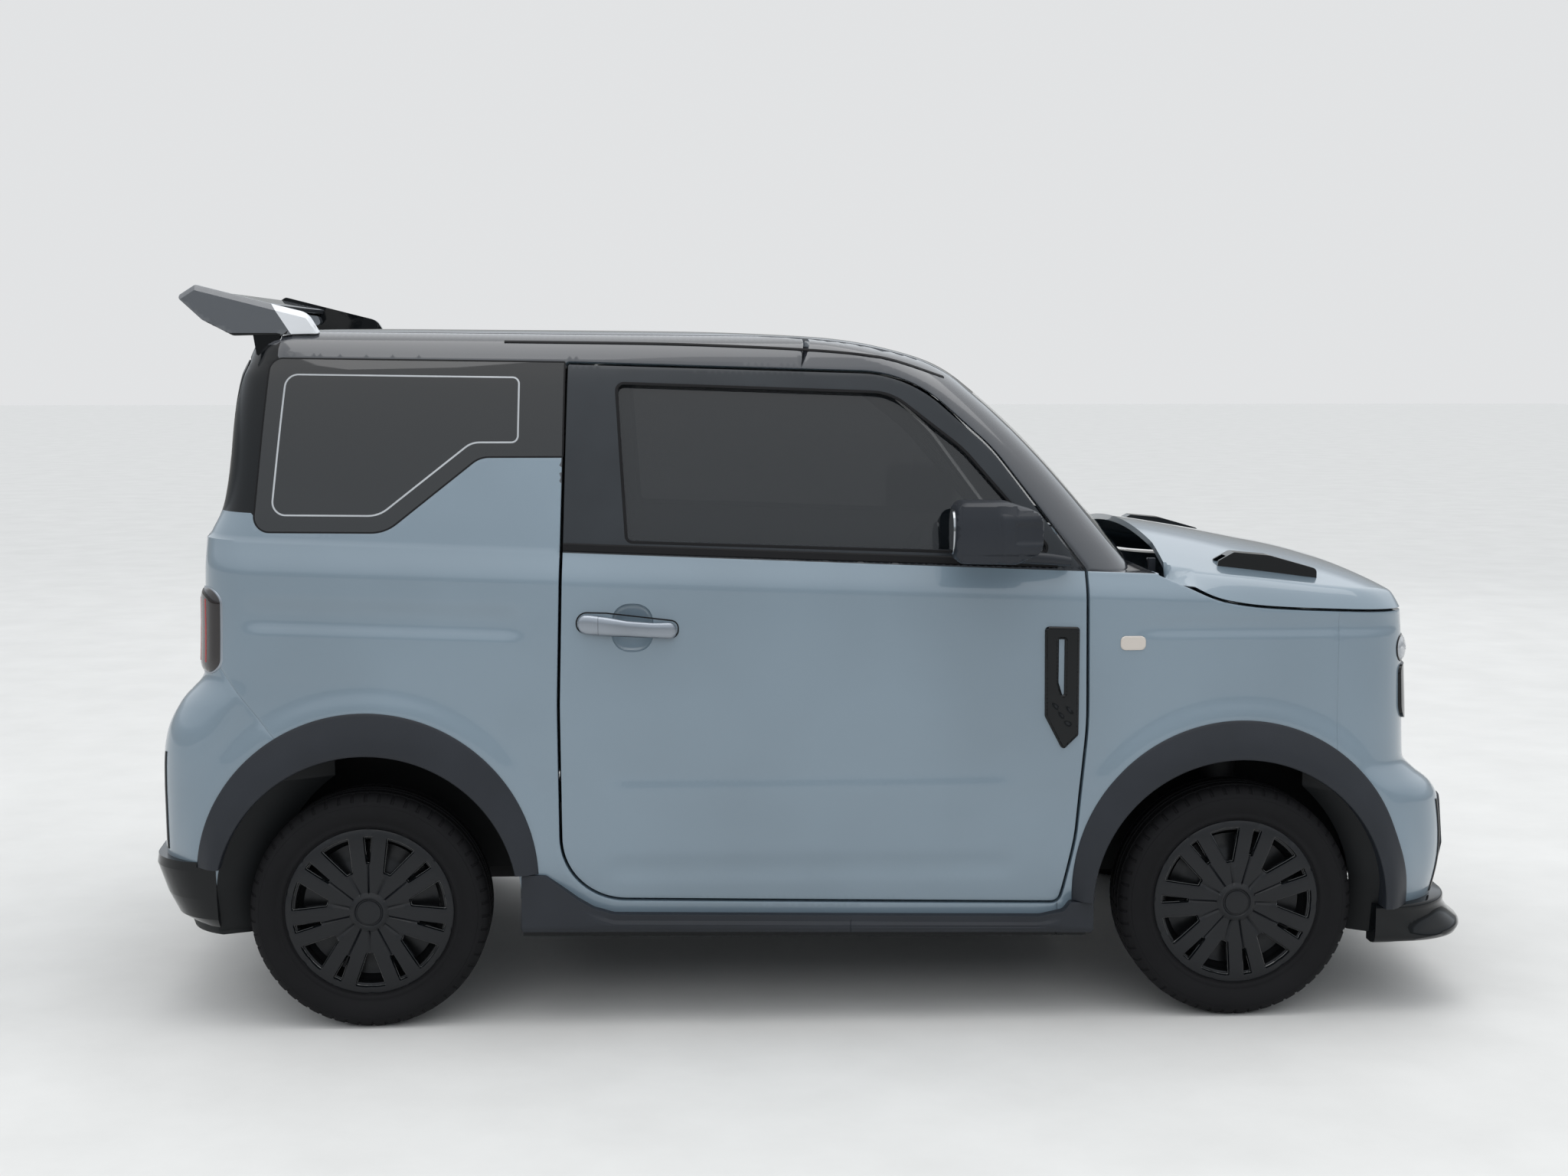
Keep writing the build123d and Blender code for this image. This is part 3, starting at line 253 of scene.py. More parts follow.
UPPER_ROWS = [
    (1078, 0.040, 384, -176, 30, 110, 120, 24, 80, 22, 0.0),
    (1160, 0.036, 350, -246, 44, 105, 118, 24, 78, 20, 0.0),
    (1470, 0.020, 315, -563, 114, 100, 110, 24, 70, 16, 0.0),
    (1530, 0.012, 294, -658, 138, 100, 130, 22, 60, 14, 0.3),
    (1566, 0.010, 281, -778, 160, 100, 140, 22, 50, 12, 0.8),
    (1588, 0.010, 255, -914, 205, 100, 150, 20, 40, 10, 1.0),
    (1598, 0.008, 190, -1094, 300, 90, 150, 18, 30, 8, 1.0),
    (1602, 0.008, 80, -1220, 420, 90, 120, 12, 20, 6, 1.0),
    (1605, 0.008, -300, -1450, 640, 50, 50, 2, 2, 2, 1.0),
]
# Distance from the front axle, then the shoulder's half width and height, and the crown's height.
BONNET_ROWS = [
    (-182, 722, 1046, 1128),
    (0, 708, 1034, 1099),
    (175, 690, 1018, 1066),
    (320, 672, 1003, 1036),
    (395, 655, 985, 1012),
    (435, 640, 962, 982),
    (470, 640, 932, 938),
]
BELT, SHOULDER = 1078.0, 1013.0
BELT_FALL, SHOULDER_FALL = 0.040, 0.034
NOSE_REAR_X = FRONT_X - 182
# The skin's lowest level, half a seam between fixed panels, and the roof panel's half width.
FOOT, SEAM, ROOF_HALF = 200.5, 0.8, 519.2


def smooth_curve(xs, ys):
    """A monotone cubic through points, for numbers or arrays."""
    x, y = np.array(xs, float), np.array(ys, float)
    h = np.diff(x)
    d = np.diff(y) / h
    m = np.zeros_like(y)
    m[0], m[-1] = d[0], d[-1]
    for i in range(1, len(y) - 1):
        if d[i - 1] * d[i] > 0:
            w1, w2 = 2 * h[i] + h[i - 1], h[i] + 2 * h[i - 1]
            m[i] = (w1 + w2) / (w1 / d[i - 1] + w2 / d[i])

    def at(value):
        value = np.clip(value, x[0], x[-1])
        i = np.clip(np.searchsorted(x, value) - 1, 0, len(h) - 1)
        t = (value - x[i]) / h[i]
        first = (1 + 2 * t) * (1 - t) ** 2 * y[i] + t * (1 - t) ** 2 * h[i] * m[i]
        return first + t * t * (3 - 2 * t) * y[i + 1] + t * t * (t - 1) * h[i] * m[i + 1]

    return at


def columns_of(rows):
    levels = [row[0] for row in rows]
    return {name: smooth_curve(levels, [row[k + 1] for row in rows]) for k, name in enumerate(COLUMNS)}


LOWER, UPPER = columns_of(LOWER_ROWS), columns_of(UPPER_ROWS)
SHOULDER_Y = smooth_curve([FRONT_X + r[0] for r in BONNET_ROWS], [r[1] for r in BONNET_ROWS])
SHOULDER_Z = smooth_curve([FRONT_X + r[0] for r in BONNET_ROWS], [r[2] for r in BONNET_ROWS])
CROWN_Z = smooth_curve([FRONT_X + r[0] for r in BONNET_ROWS], [r[3] for r in BONNET_ROWS])


def step(low, high, value):
    t = np.clip((value - low) / (high - low), 0, 1)
    return t * t * (3 - 2 * t)


End = namedtuple("End", "x_end bow corner_y radius xc yc xt yt a_side turn")


class Contour:
    """The outline at a level: a bowed flank, a bowed tail and nose, and a rounded corner at each end."""

    def __init__(self, level, inset):
        level = np.asarray(level, float)
        low = level <= BELT
        get = {n: np.where(low, LOWER[n](level), UPPER[n](level)) for n in COLUMNS}
        self.level = level - get["down"] * inset
        self.fall = get["fall"]
        self.half = BODY_HALF - get["tuck"] - inset
        self.side_bow = get["side_bow"]
        tail = REAR_X - get["rear"] + inset
        nose = FRONT_X + get["front"] - inset
        self.middle = (tail + nose) / 2
        self.reach = (nose - get["front_bow"] - tail - get["rear_bow"]) / 2
        corner_y = self.half - self.side_bow
        self.ends = {}
        for s, x_end, label in ((-1, tail, "rear"), (1, nose, "front")):
            bow, radius = get[label + "_bow"], np.maximum(get[label + "_r"] - inset, 15)
            yc = corner_y - radius
            xc = x_end - s * (bow + radius)
            for _ in range(5):
                a_side = np.arctan(2 * self.side_bow * np.abs(xc - self.middle) / self.reach**2)
                xt = xc + s * radius * np.sin(a_side)
                yc = self.side(xt) - radius * np.cos(a_side)
                a_end = np.arctan(2 * bow * yc / corner_y**2)
                yt = yc + radius * np.sin(a_end)
                xc = x_end - s * bow * (yt / corner_y) ** 2 - s * radius * np.cos(a_end)
            turn = pi / 2 - a_end - a_side
            self.ends[s] = End(x_end, bow, corner_y, radius, xc, yc, xt, yt, a_side, turn)

    def side(self, x):
        return self.half - self.side_bow * ((x - self.middle) / self.reach) ** 2

    def run(self, s):
        """Where the corner starts, and how far it is from there to the centre line."""
        end = self.ends[s]
        return end.xt, end.radius * end.turn + end.yt

    def point(self, a):
        x, y = a.copy(), self.side(a)
        for s in (-1, 1):
            x_end, bow, corner_y, radius, xc, yc, xt, yt, a_side, turn = self.ends[s]
            over = (a - xt) * s
            angle = a_side + np.clip(over / radius, 0, turn)
            x = np.where(over > 0, xc + s * radius * np.sin(angle), x)
            y = np.where(over > 0, yc + radius * np.cos(angle), y)
            past = over - radius * turn
            flat_y = yt - past
            x = np.where(past > 0, x_end - s * bow * (flat_y / corner_y) ** 2, x)
            y = np.where(past > 0, flat_y, y)
        return x, y

    def from_x(self, x):
        a = x.copy()
        for s in (-1, 1):
            end = self.ends[s]
            angle = np.arcsin(np.clip((x - end.xc) * s / end.radius, -1, np.sin(end.a_side + end.turn)))
            a = np.where((x - end.xt) * s > 0, end.xt + s * end.radius * (angle - end.a_side), a)
        return a

    def from_y(self, y, s):
        end = self.ends[s]
        angle = np.arccos(np.clip((y - end.yc) / end.radius, 0, 1))
        corner = end.xt + s * end.radius * (np.clip(angle, end.a_side, end.a_side + end.turn) - end.a_side)
        return np.where(y < end.yt, end.xt + s * (end.radius * end.turn + end.yt - y), corner)


def skin(chart, a, level, inset=0.0):
    """X, Y and Z of addresses on the skin, moved inwards by an inset. Y is negative on the right."""
    a, level = np.asarray(a, float), np.asarray(level, float)
    inset = np.zeros_like(level) + inset
    if chart == "roof":
        return np.stack([a, level, roof_height(a, level) - inset], -1)
    if callable(chart):
        return np.stack(chart(a, level, inset), -1)
    contour = Contour(level, inset)
    sign = -np.ones_like(a)
    along = a
    if chart == "tail":
        start, length = contour.run(-1)
        along = start - length + np.abs(a)
        sign = np.where(a > 0, -1.0, 1.0)
    elif chart == "nose":
        start, length = contour.run(1)
        along = start + length - np.abs(a)
        sign = np.where(a > 0, 1.0, -1.0)
    x, y = contour.point(along)
    z = contour.level - contour.fall * x
    over = (level > SHOULDER) & (level <= BELT) & (x > NOSE_REAR_X - 10)
    if np.any(over):
        edge = Contour(np.full_like(level, SHOULDER), inset)
        ax = along if chart == "side" else edge.run(1)[0] + edge.run(1)[1] - np.abs(a)
        ex, ey = edge.point(ax)
        ez = SHOULDER - edge.fall * ex
        part = (LOWER["tuck"](level) - 2) / 24
        wide = step(NOSE_REAR_X, NOSE_REAR_X + 140, ex)
        belt_y = Contour(np.full_like(level, BELT), inset).side(ex)
        top_y = (1 - wide) * belt_y + wide * (SHOULDER_Y(ex) - inset)
        top_z = SHOULDER_Z(ex) - inset
        rise = (level - SHOULDER) / (BELT - SHOULDER)
        x = np.where(over, ex, x)
        y = np.where(over, ey + (np.minimum(top_y, ey) - ey) * part, y)
        z = np.where(over, ez + (top_z - ez) * rise, z)
    return np.stack([x, sign * y, z], -1)


def roof_height(x, y):
    """Height of the roof over a point of the plan, found by halving between two levels."""
    low, high = np.full_like(x, 1380.0), np.full_like(x, 1605.0)
    for _ in range(22):
        level = (low + high) / 2
        contour = Contour(level, np.zeros_like(level))
        across = np.abs(y)
        rear = contour.point(contour.from_y(across, -1))[0]
        front = contour.point(contour.from_y(across, 1))[0]
        within = (x > rear) & (x < front) & (across < contour.side(x))
        low = np.where(within, level, low)
        high = np.where(within, high, level)
    return low - UPPER["fall"](low) * x


def level_at(x, z):
    """The level whose outline passes through this side-view point."""
    level = np.asarray(z, float).copy()
    for _ in range(6):
        fall = np.where(level <= BELT, LOWER["fall"](level), UPPER["fall"](level))
        level = z + fall * x
    edge_z = SHOULDER - SHOULDER_FALL * x
    nose = (x > NOSE_REAR_X - 10) & (z > edge_z)
    top = SHOULDER_Z(x)
    return np.where(nose, SHOULDER + (BELT - SHOULDER) * (z - edge_z) / (top - edge_z), level)


def address(chart, kind, points):
    """Addresses on the skin's map of points seen from the side (xz) or from the end (yz)."""
    u, z = np.array([p[0] for p in points], float), np.array([p[1] for p in points], float)
    s = 1 if chart == "nose" else -1
    if kind == "map":
        return np.stack([u, z], -1)
    if kind == "xz":
        level = level_at(u, z)
        contour = Contour(level, np.zeros_like(level))
        a = contour.from_x(u)
    else:
        level = z.copy()
        for _ in range(6):
            contour = Contour(level, np.zeros_like(level))
            a = contour.from_y(np.abs(u), s)
            level = level_at(contour.point(a)[0], z)
    if chart == "side":
        return np.stack([a, level], -1)
    start, length = contour.run(s)
    c = length - (a - start) * s
    if kind == "yz":
        c = c * np.sign(u) * s
    return np.stack([c, level], -1)


def on_side(points):
    """Addresses on the flank of points seen from the side."""
    return address("side", "xz", points)


# %% [markdown]
# ## Outlines and panels
#
# An outline is a short list of corners, each with its own radius. A panel is the part of the map that a rule
# keeps: inside the door's outline, outside the window's. A constrained triangulation fills it, then the rim
# is turned in round a small edge radius, the way a pressed steel edge is folded over.


# %% Outlines
def at_place(x0, z0, points):
    """Points of a side view moved to their place."""
    return [(x0 + x, z0 + z, *rest) for x, z, *rest in points]


def unit(a, b):
    length = hypot(b[0] - a[0], b[1] - a[1])
    return ((b[0] - a[0]) / length, (b[1] - a[1]) / length)


def grown(points, gap):
    """The closed outline moved outwards by a gap, with its corners kept concentric."""
    count = len(points)
    area = sum(points[i - 1][0] * points[i][1] - points[i - 1][1] * points[i][0] for i in range(count))
    out = 1 if area > 0 else -1
    moved = []
    for i, (u, v, radius) in enumerate(points):
        before, after = unit(points[i - 1], points[i]), unit(points[i], points[(i + 1) % count])
        turn = out * (before[0] * after[1] - before[1] * after[0])
        bend = 1 + before[0] * after[0] + before[1] * after[1]
        du = out * gap * (before[1] + after[1]) / bend
        dv = -out * gap * (before[0] + after[0]) / bend
        moved.append((u + du, v + dv, max(radius + gap if turn > 0 else radius - gap, 0.5)))
    return moved


def spaced(a, b, gap):
    count = max(1, ceil(hypot(b[0] - a[0], b[1] - a[1]) / gap))
    return [(a[0] + (b[0] - a[0]) * k / count, a[1] + (b[1] - a[1]) * k / count) for k in range(count)]


def trace(points, gap=12.0):
    """Points along a closed outline of straight runs with rounded corners."""
    count = len(points)
    path = []
    for i, (u, v, radius) in enumerate(points):
        before, after = unit(points[i - 1], points[i]), unit(points[i], points[(i + 1) % count])
        turn = atan2(before[0] * after[1] - before[1] * after[0], before[0] * after[0] + before[1] * after[1])
        reach = radius * tan(abs(turn) / 2)
        if reach < 0.05:
            path.append([(u, v)])
            continue
        side = 1 if turn > 0 else -1
        sx, sy = u - before[0] * reach, v - before[1] * reach
        cx, cy = sx - side * before[1] * radius, sy + side * before[0] * radius
        steps = max(3, ceil(abs(turn) / radians(9)), ceil(abs(turn) * radius / gap))
        start = atan2(sy - cy, sx - cx)
        angles = [start + turn * k / steps for k in range(steps + 1)]
        path.append([(cx + radius * cos(angle), cy + radius * sin(angle)) for angle in angles])
    loop = []
    for i, arc in enumerate(path):
        loop += arc[:-1] + spaced(arc[-1], path[(i + 1) % count][0], gap)
    return loop


def ring_of(radius, count):
    return [(radius * cos(2 * pi * k / count), radius * sin(2 * pi * k / count)) for k in range(count)]


def inside(loop, u, v):
    """Which points lie inside a closed loop."""
    loop = np.array(loop, float)
    hit = np.zeros(len(u), bool)
    for (x0, y0), (x1, y1) in zip(loop, np.roll(loop, -1, axis=0)):
        if y0 != y1:
            crossing = ((y0 > v) != (y1 > v)) & (u < (x1 - x0) * (v - y0) / (y1 - y0) + x0)
            hit ^= crossing
    return hit


def kept_in(loop):
    """The rule that keeps the part of the map inside a loop."""
    return lambda q: inside(loop, q[:, 0], q[:, 1])


def around(loop, gap=5):
    """The box round a loop of the map, with a margin."""
    (a0, z0), (a1, z1) = loop.min(axis=0) - gap, loop.max(axis=0) + gap
    return a0, a1, z0, z1


def run_of(points):
    """The height over x of straight runs between points."""
    xs, zs = [p[0] for p in points], [p[1] for p in points]
    return lambda x: np.interp(x, xs, zs)


# %% Panels
def near_any(points, segments, limit):
    """Which points lie nearer than a limit to a set of segments."""
    near = np.zeros(len(points), bool)
    for a, b in segments:
        low, high = np.minimum(a, b) - limit, np.maximum(a, b) + limit
        some = np.nonzero(~near & np.all((points >= low) & (points <= high), axis=1))[0]
        if len(some):
            run = b - a
            t = np.clip(((points[some] - a) @ run) / max(run @ run, 1e-9), 0, 1)
            gap = np.linalg.norm(points[some] - a - t[:, None] * run, axis=1)
            near[some[gap < limit]] = True
    return near


def fill(lines, keep, box, da, dz, rows=()):
    """Triangles of the map inside a box that a rule keeps. Lines are (points, closed) on the map."""
    verts, edges = [], []
    for points, closed in lines:
        first = len(verts)
        verts += [tuple(p) for p in points]
        count = len(points)
        edges += [(first + i, first + (i + 1) % count) for i in range(count if closed else count - 1)]
    a0, a1, z0, z1 = box
    levels = list(np.arange(z0 + dz / 2, z1, dz)) + list(rows)
    grid = [(a, z) for j, z in enumerate(levels) for a in np.arange(a0 + da * (0.25 + 0.5 * (j % 2)), a1, da)]
    grid = np.array(grid)
    grid = grid[keep(grid)]
    segments = [(np.array(verts[i]), np.array(verts[j])) for i, j in edges]
    grid = grid[~near_any(grid, segments, 0.42 * min(da, dz))]
    everything = [Vector(p) for p in verts] + [Vector(p) for p in grid]
    out = delaunay_2d_cdt(everything, edges, [], 0, 1e-3)
    points = np.array([tuple(p) for p in out[0]])
    faces = np.array([f[:3] for f in out[2]], int)
    middle = points[faces].mean(axis=1)
    p, q, r = points[faces[:, 0]], points[faces[:, 1]], points[faces[:, 2]]
    area = (q[:, 0] - p[:, 0]) * (r[:, 1] - p[:, 1]) - (q[:, 1] - p[:, 1]) * (r[:, 0] - p[:, 0])
    good = keep(middle) & (np.abs(area) > 1e-3)
    faces, area = faces[good], area[good]
    faces[area < 0] = faces[area < 0][:, ::-1]
    used, back = np.unique(faces, return_inverse=True)
    return points[used], back.reshape(faces.shape)


def rims(faces):
    """The open edges of a set of triangles, chained into loops that keep the faces on their left."""
    pairs = {}
    for tri in faces:
        for i in range(3):
            pairs[(tri[i], tri[(i + 1) % 3])] = True
    after = {}
    for a, b in pairs:
        if (b, a) not in pairs:
            after.setdefault(a, []).append(b)
    loops = []
    while after:
        start = next(iter(after))
        loop = [start]
        here = after[start].pop()
        if not after[start]:
            del after[start]
        while here != start and here in after:
            loop.append(here)
            nxt = after[here].pop()
            if not after[here]:
                del after[here]
            here = nxt
        if len(loop) > 2:
            loops.append(loop)
    return loops


def turned_in(points, loop, move):
    """The loop's points moved towards the panel's inside, on the map."""
    p = points[loop]
    forward = np.roll(p, -1, axis=0) - p
    forward /= np.maximum(np.linalg.norm(forward, axis=1), 1e-9)[:, None]
    normal = np.stack([-forward[:, 1], forward[:, 0]], -1)
    mean = normal + np.roll(normal, 1, axis=0)
    size = np.maximum((mean**2).sum(axis=1), 0.6)
    return p + 2 * move * mean / size[:, None]


def new_piece(name, verts, faces, materials, slots=None):
    """A smooth mesh object from millimetre points, with its faces' material numbers."""
    mesh = bpy.data.meshes.new(name)
    mesh.from_pydata((np.asarray(verts, float) * 0.001).tolist(), [], [list(map(int, f)) for f in faces])
    for finish in materials:
        mesh.materials.append(finish.material)
    if slots is not None:
        mesh.polygons.foreach_set("material_index", np.asarray(slots, np.int32))
    mesh.polygons.foreach_set("use_smooth", [True] * len(mesh.polygons))
    mesh.update()
    piece = bpy.data.objects.new(name, mesh)
    scene.collection.objects.link(piece)
    return piece


def panel(
    chart, lines, keep, box, profile, da, dz, rows=(), relief=None, paint=None, hidden=None, lining=None
):
    """Vertices, faces and material numbers of a panel.

    The profile is a list of (move, inset) rings round the rim, from the outer skin inwards. Its last inset
    may be a rule that gives the depth of the inner skin at each address. Paint, hidden and lining are rules
    for the material numbers of the outer skin, of the rim's walls and of the inner skin.
    """
    points, faces = fill(lines, keep, box, da, dz, rows)
    loops = rims(faces)
    edge_verts = points.copy()
    first_move = profile[0][0]
    for loop in loops:
        edge_verts[loop] = turned_in(points, loop, first_move)
    verts = skin(chart, edge_verts[:, 0], edge_verts[:, 1])
    if relief is not None:
        verts[:, 1] -= np.sign(verts[:, 1]) * relief(verts)
    slots = np.zeros(len(faces), int)
    if paint is not None:
        centre = points[faces].mean(axis=1)
        slots = paint(skin(chart, centre[:, 0], centre[:, 1]))
    all_verts, all_faces, all_slots = [verts], [faces], [slots]
    count = len(verts)
    inner_lines = []
    owner = {}
    for face, slot in zip(faces, slots):
        for i in range(3):
            owner[(face[i], face[(i + 1) % 3])] = slot
    for loop in loops:
        previous = np.array(loop)
        tints = [owner.get((loop[i], loop[(i + 1) % len(loop)]), 0) for i in range(len(loop))]
        for k, (move, inset) in enumerate(profile[1:], 1):
            place = turned_in(points, loop, move)
            depth = inset(place) if callable(inset) else inset
            ring = skin(chart, place[:, 0], place[:, 1], depth)
            if relief is not None and k < len(profile) - 1:
                ring[:, 1] -= np.sign(ring[:, 1]) * relief(ring)
            here = np.arange(count, count + len(loop))
            count += len(loop)
            nxt = np.roll(np.arange(len(loop)), -1)
            quads = np.stack([previous[nxt], previous, here, here[nxt]], -1)
            all_verts.append(ring)
            all_faces.append(quads)
            dark = hidden is not None and k >= len(FOLDED)
            all_slots.append(hidden(ring) if dark else np.array(tints))
            previous = here
        inner_lines.append((place, True))

    def within(q):
        hit = np.zeros(len(q), bool)
        for line, _ in inner_lines:
            hit ^= inside(line, q[:, 0], q[:, 1])
        return hit

    inner, inner_faces = fill(inner_lines, within, box, *INNER_CELL)
    inset = profile[-1][1]
    depth = inset(inner) if callable(inset) else inset
    all_verts.append(skin(chart, inner[:, 0], inner[:, 1], depth))
    all_faces.append(inner_faces[:, ::-1] + count)
    rule = lining or hidden or paint
    centre = inner[inner_faces].mean(axis=1)
    all_slots.append(rule(skin(chart, centre[:, 0], centre[:, 1])) if rule else np.zeros(len(centre), int))
    return np.concatenate(all_verts), [f for group in all_faces for f in group], np.concatenate(all_slots)


def mirrored(verts, faces, slots=None):
    return verts * np.array([1, -1, 1]), [list(f)[::-1] for f in faces], slots


# Points nearer than this, in metres, are one.
MERGE = 0.00002


def weld(piece, sharp):
    """Doubles merged, and edges sharper than an angle kept sharp."""
    mesh = bmesh.new()
    mesh.from_mesh(piece.data)
    bmesh.ops.remove_doubles(mesh, verts=mesh.verts, dist=MERGE)
    limit = radians(sharp)
    for edge in mesh.edges:
        if len(edge.link_faces) == 2 and edge.calc_face_angle(0) > limit:
            edge.smooth = False
    mesh.to_mesh(piece.data)
    mesh.free()


# The folded edge of pressed steel, and the coarse cells of a panel's inner skin.
FOLDED = [(1.6, 0.0), (0.5, 0.45), (0.0, 1.6)]
INNER_CELL = (60.0, 40.0)


def ribbon(chart, path, closed, width, base, top, edge):
    """A strip laid on the skin along a path of the map, from an inset of base out to an inset of top."""
    path = np.asarray(path, float)
    ahead = np.roll(path, -1, axis=0) - path
    back = path - np.roll(path, 1, axis=0)
    if not closed:
        ahead[-1], back[0] = back[-1], ahead[0]
    ahead /= np.linalg.norm(ahead, axis=1)[:, None]
    back /= np.linalg.norm(back, axis=1)[:, None]
    side = np.stack([-(ahead + back)[:, 1], (ahead + back)[:, 0]], -1)
    side *= 2 / np.maximum((side**2).sum(axis=1), 1.0)[:, None]
    half = width / 2
    section = [
        (-half, base), (-half, top + edge), (-half + edge, top), (half - edge, top), (half, top + edge),
        (half, base),
    ]
    rings = [skin(chart, *(path + side * s).T, inset) for s, inset in section]
    count, rows = len(path), len(section)
    verts = np.concatenate(rings)
    faces = []
    for k in range(count if closed else count - 1):
        nxt = (k + 1) % count
        for r in range(rows):
            up = (r + 1) % rows
            faces.append((r * count + k, r * count + nxt, up * count + nxt, up * count + k))
    if not closed:
        faces.append([r * count for r in range(rows)])
        faces.append([r * count + count - 1 for r in range(rows)][::-1])
    if chart == "nose":
        faces = [face[::-1] for face in faces]
    return verts, faces


def joined(*shapes):
    """Several (vertices, faces) as one, to share an object."""
    verts, faces, count = [], [], 0
    for shape in shapes:
        verts.append(np.asarray(shape[0], float))
        faces += [[i + count for i in face] for face in shape[1]]
        count += len(shape[0])
    return np.concatenate(verts), faces


def tinted(*parts):
    """Shapes as one, each with the number of its finish, or with one number for each face."""
    numbers = [np.broadcast_to(number, len(shape[1])) for shape, number in parts]
    return (*joined(*[shape[:2] for shape, _ in parts]), np.concatenate(numbers))


def tube(rings):
    """A skin over rings of points that have the same count, closed by a flat cap at each end."""
    size, last = len(rings[0]), len(rings) - 1
    faces = []
    for k in range(last):
        for i in range(size):
            j = (i + 1) % size
            faces.append((k * size + i, k * size + j, (k + 1) * size + j, (k + 1) * size + i))
    faces += [list(range(size))[::-1], [last * size + i for i in range(size)]]
    return np.concatenate(rings), faces


# %% Pieces in their places
def face_out(piece):
    work = bmesh.new()
    work.from_mesh(piece.data)
    bmesh.ops.remove_doubles(work, verts=work.verts, dist=MERGE)
    bmesh.ops.recalc_face_normals(work, faces=work.faces)
    work.to_mesh(piece.data)
    work.free()


def settle(piece, body, node, slot, sharp, faced=True):
    """Welds a piece and hangs it on its body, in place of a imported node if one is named."""
    if faced:
        face_out(piece)
    weld(piece, sharp)
    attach(piece, body)
    if node:
        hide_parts(node)


def add(name, shape, finishes, body, node, slot, sharp, faced=True):
    """A new piece from (vertices, faces) and, if it has more than one finish, its faces' numbers."""
    settle(new_piece(name, *shape[:2], finishes, *shape[2:]), body, node, slot, sharp, faced)


def add_pair(name, shape, finishes, node, slot, sharp, body="door", faced=True):
    """A right-hand piece and its mirror image, on the two doors or both on the body."""
    for side, part in (("right", shape), ("left", mirrored(*shape))):
        rides = f"door_{side}" if body == "door" else body
        add(f"{name}_{side}", part, finishes, rides, node and f"{node}_{side}", slot, sharp, faced)


def add_both(name, shape, finishes, node, slot, sharp=30, faced=True):
    """A right-hand shape and its mirror image, as one piece on the body."""
    other = mirrored(*shape)
    numbers = [np.concatenate([shape[2], other[2]])] if len(shape) > 2 else []
    add(name, (*joined(shape[:2], other[:2]), *numbers), finishes, "body", node, slot, sharp, faced)


# %% [markdown]
# ## Finishes
#
# Car paint is a colour coat under a clear one: the colour is broad and soft, the clear coat adds sharp
# reflections. Plastics differ mainly in their grain, so each has its own bump and its own roughness.


# %% Finishes
def painted(name, color, rough=0.32, wave=0.012, coat=1.0, **sockets):
    finish = Finish(name, color, rough, Coat_Weight=coat, Coat_Roughness=0.03, **sockets)
    cloud = finish.noise(2.2, 2.0, 0.5)
    deep = tuple(0.94 * c for c in color)
    light = tuple(min(1.0, 1.05 * c) for c in color)
    finish.set("Base Color", finish.ramp(cloud, (0.35, deep), (0.65, light)))
    finish.bump(finish.noise(60.0, 2.0, 0.4), wave, 0.001)
    return finish


def moulded(name, color, rough, grain=900.0, strength=0.25, **sockets):
    finish = Finish(name, color, rough, **sockets)
    fine = finish.noise(grain, 2.0, 0.5)
    finish.set("Roughness", rough - 0.05 + fine * 0.1)
    cloud = finish.noise(5.0, 3.0, 0.5)
    dark = tuple(0.88 * c for c in color)
    light = tuple(min(1.0, 1.1 * c) for c in color)
    finish.set("Base Color", finish.ramp(cloud, (0.35, dark), (0.65, light)))
    finish.bump(fine, strength, 0.0004)
    return finish


def glazed(name, color, alpha, rough=0.02):
    finish = Finish(name, color, rough, Alpha=alpha, Coat_Weight=0.6, Coat_Roughness=0.02)
    haze = finish.noise(9.0, 2.0, 0.5)
    finish.set("Roughness", rough + haze * 0.02)
    return finish


body_paint = painted("body_paint", (0.168, 0.226, 0.275))
roof_paint = painted("roof_paint", (0.040, 0.044, 0.052), 0.25)
gloss_black = painted("gloss_black", (0.003, 0.004, 0.005), 0.12, 0.004, 0.2, Specular_IOR_Level=0.2)
film_black = moulded("film_black", (0.022, 0.026, 0.031), 0.34, 500.0, 0.05, Specular_IOR_Level=0.35)
arch_plastic = moulded("arch_plastic", (0.017, 0.020, 0.026), 0.46, 1100.0, 0.25, Specular_IOR_Level=0.32)
mirror_plastic = moulded("mirror_plastic", (0.017, 0.020, 0.026), 0.40, 1000.0, 0.15, Specular_IOR_Level=0.32)
wing_grey = painted("wing_grey", (0.080, 0.088, 0.100), 0.30)
wing_white = painted("wing_white", (0.70, 0.72, 0.75), 0.30)
black_plastic = moulded("black_plastic", (0.008, 0.009, 0.010), 0.55, 800.0, 0.2, Specular_IOR_Level=0.25)
rubber = moulded("rubber", (0.007, 0.007, 0.008), 0.66, 700.0, 0.2, Specular_IOR_Level=0.2)
tyre_rubber = moulded("tyre_rubber", (0.008, 0.008, 0.009), 0.74, 420.0, 0.25, Specular_IOR_Level=0.16)
wheel_black = moulded("wheel_black", (0.006, 0.007, 0.009), 0.36, 500.0, 0.03, Specular_IOR_Level=0.35)
wheel_gloss = painted("wheel_gloss", (0.004, 0.005, 0.006), 0.14, 0.003)
rim_steel = moulded("rim_steel", (0.020, 0.021, 0.023), 0.30, 300.0, 0.05, Metallic=0.6)
under_steel = moulded("under_steel", (0.022, 0.022, 0.024), 0.62, 90.0, 0.4, Metallic=0.3)
pale_metal = moulded("pale_metal", (0.30, 0.33, 0.37), 0.30, 300.0, 0.04, Metallic=0.85)
cabin_plastic = moulded("cabin_plastic", (0.020, 0.021, 0.024), 0.60, 500.0, 0.3)
cabin_lining = moulded("cabin_lining", (0.16, 0.16, 0.16), 0.85, 600.0, 0.3)
printed_grey = moulded("printed_grey", (0.42, 0.44, 0.46), 0.40, 300.0, 0.02)
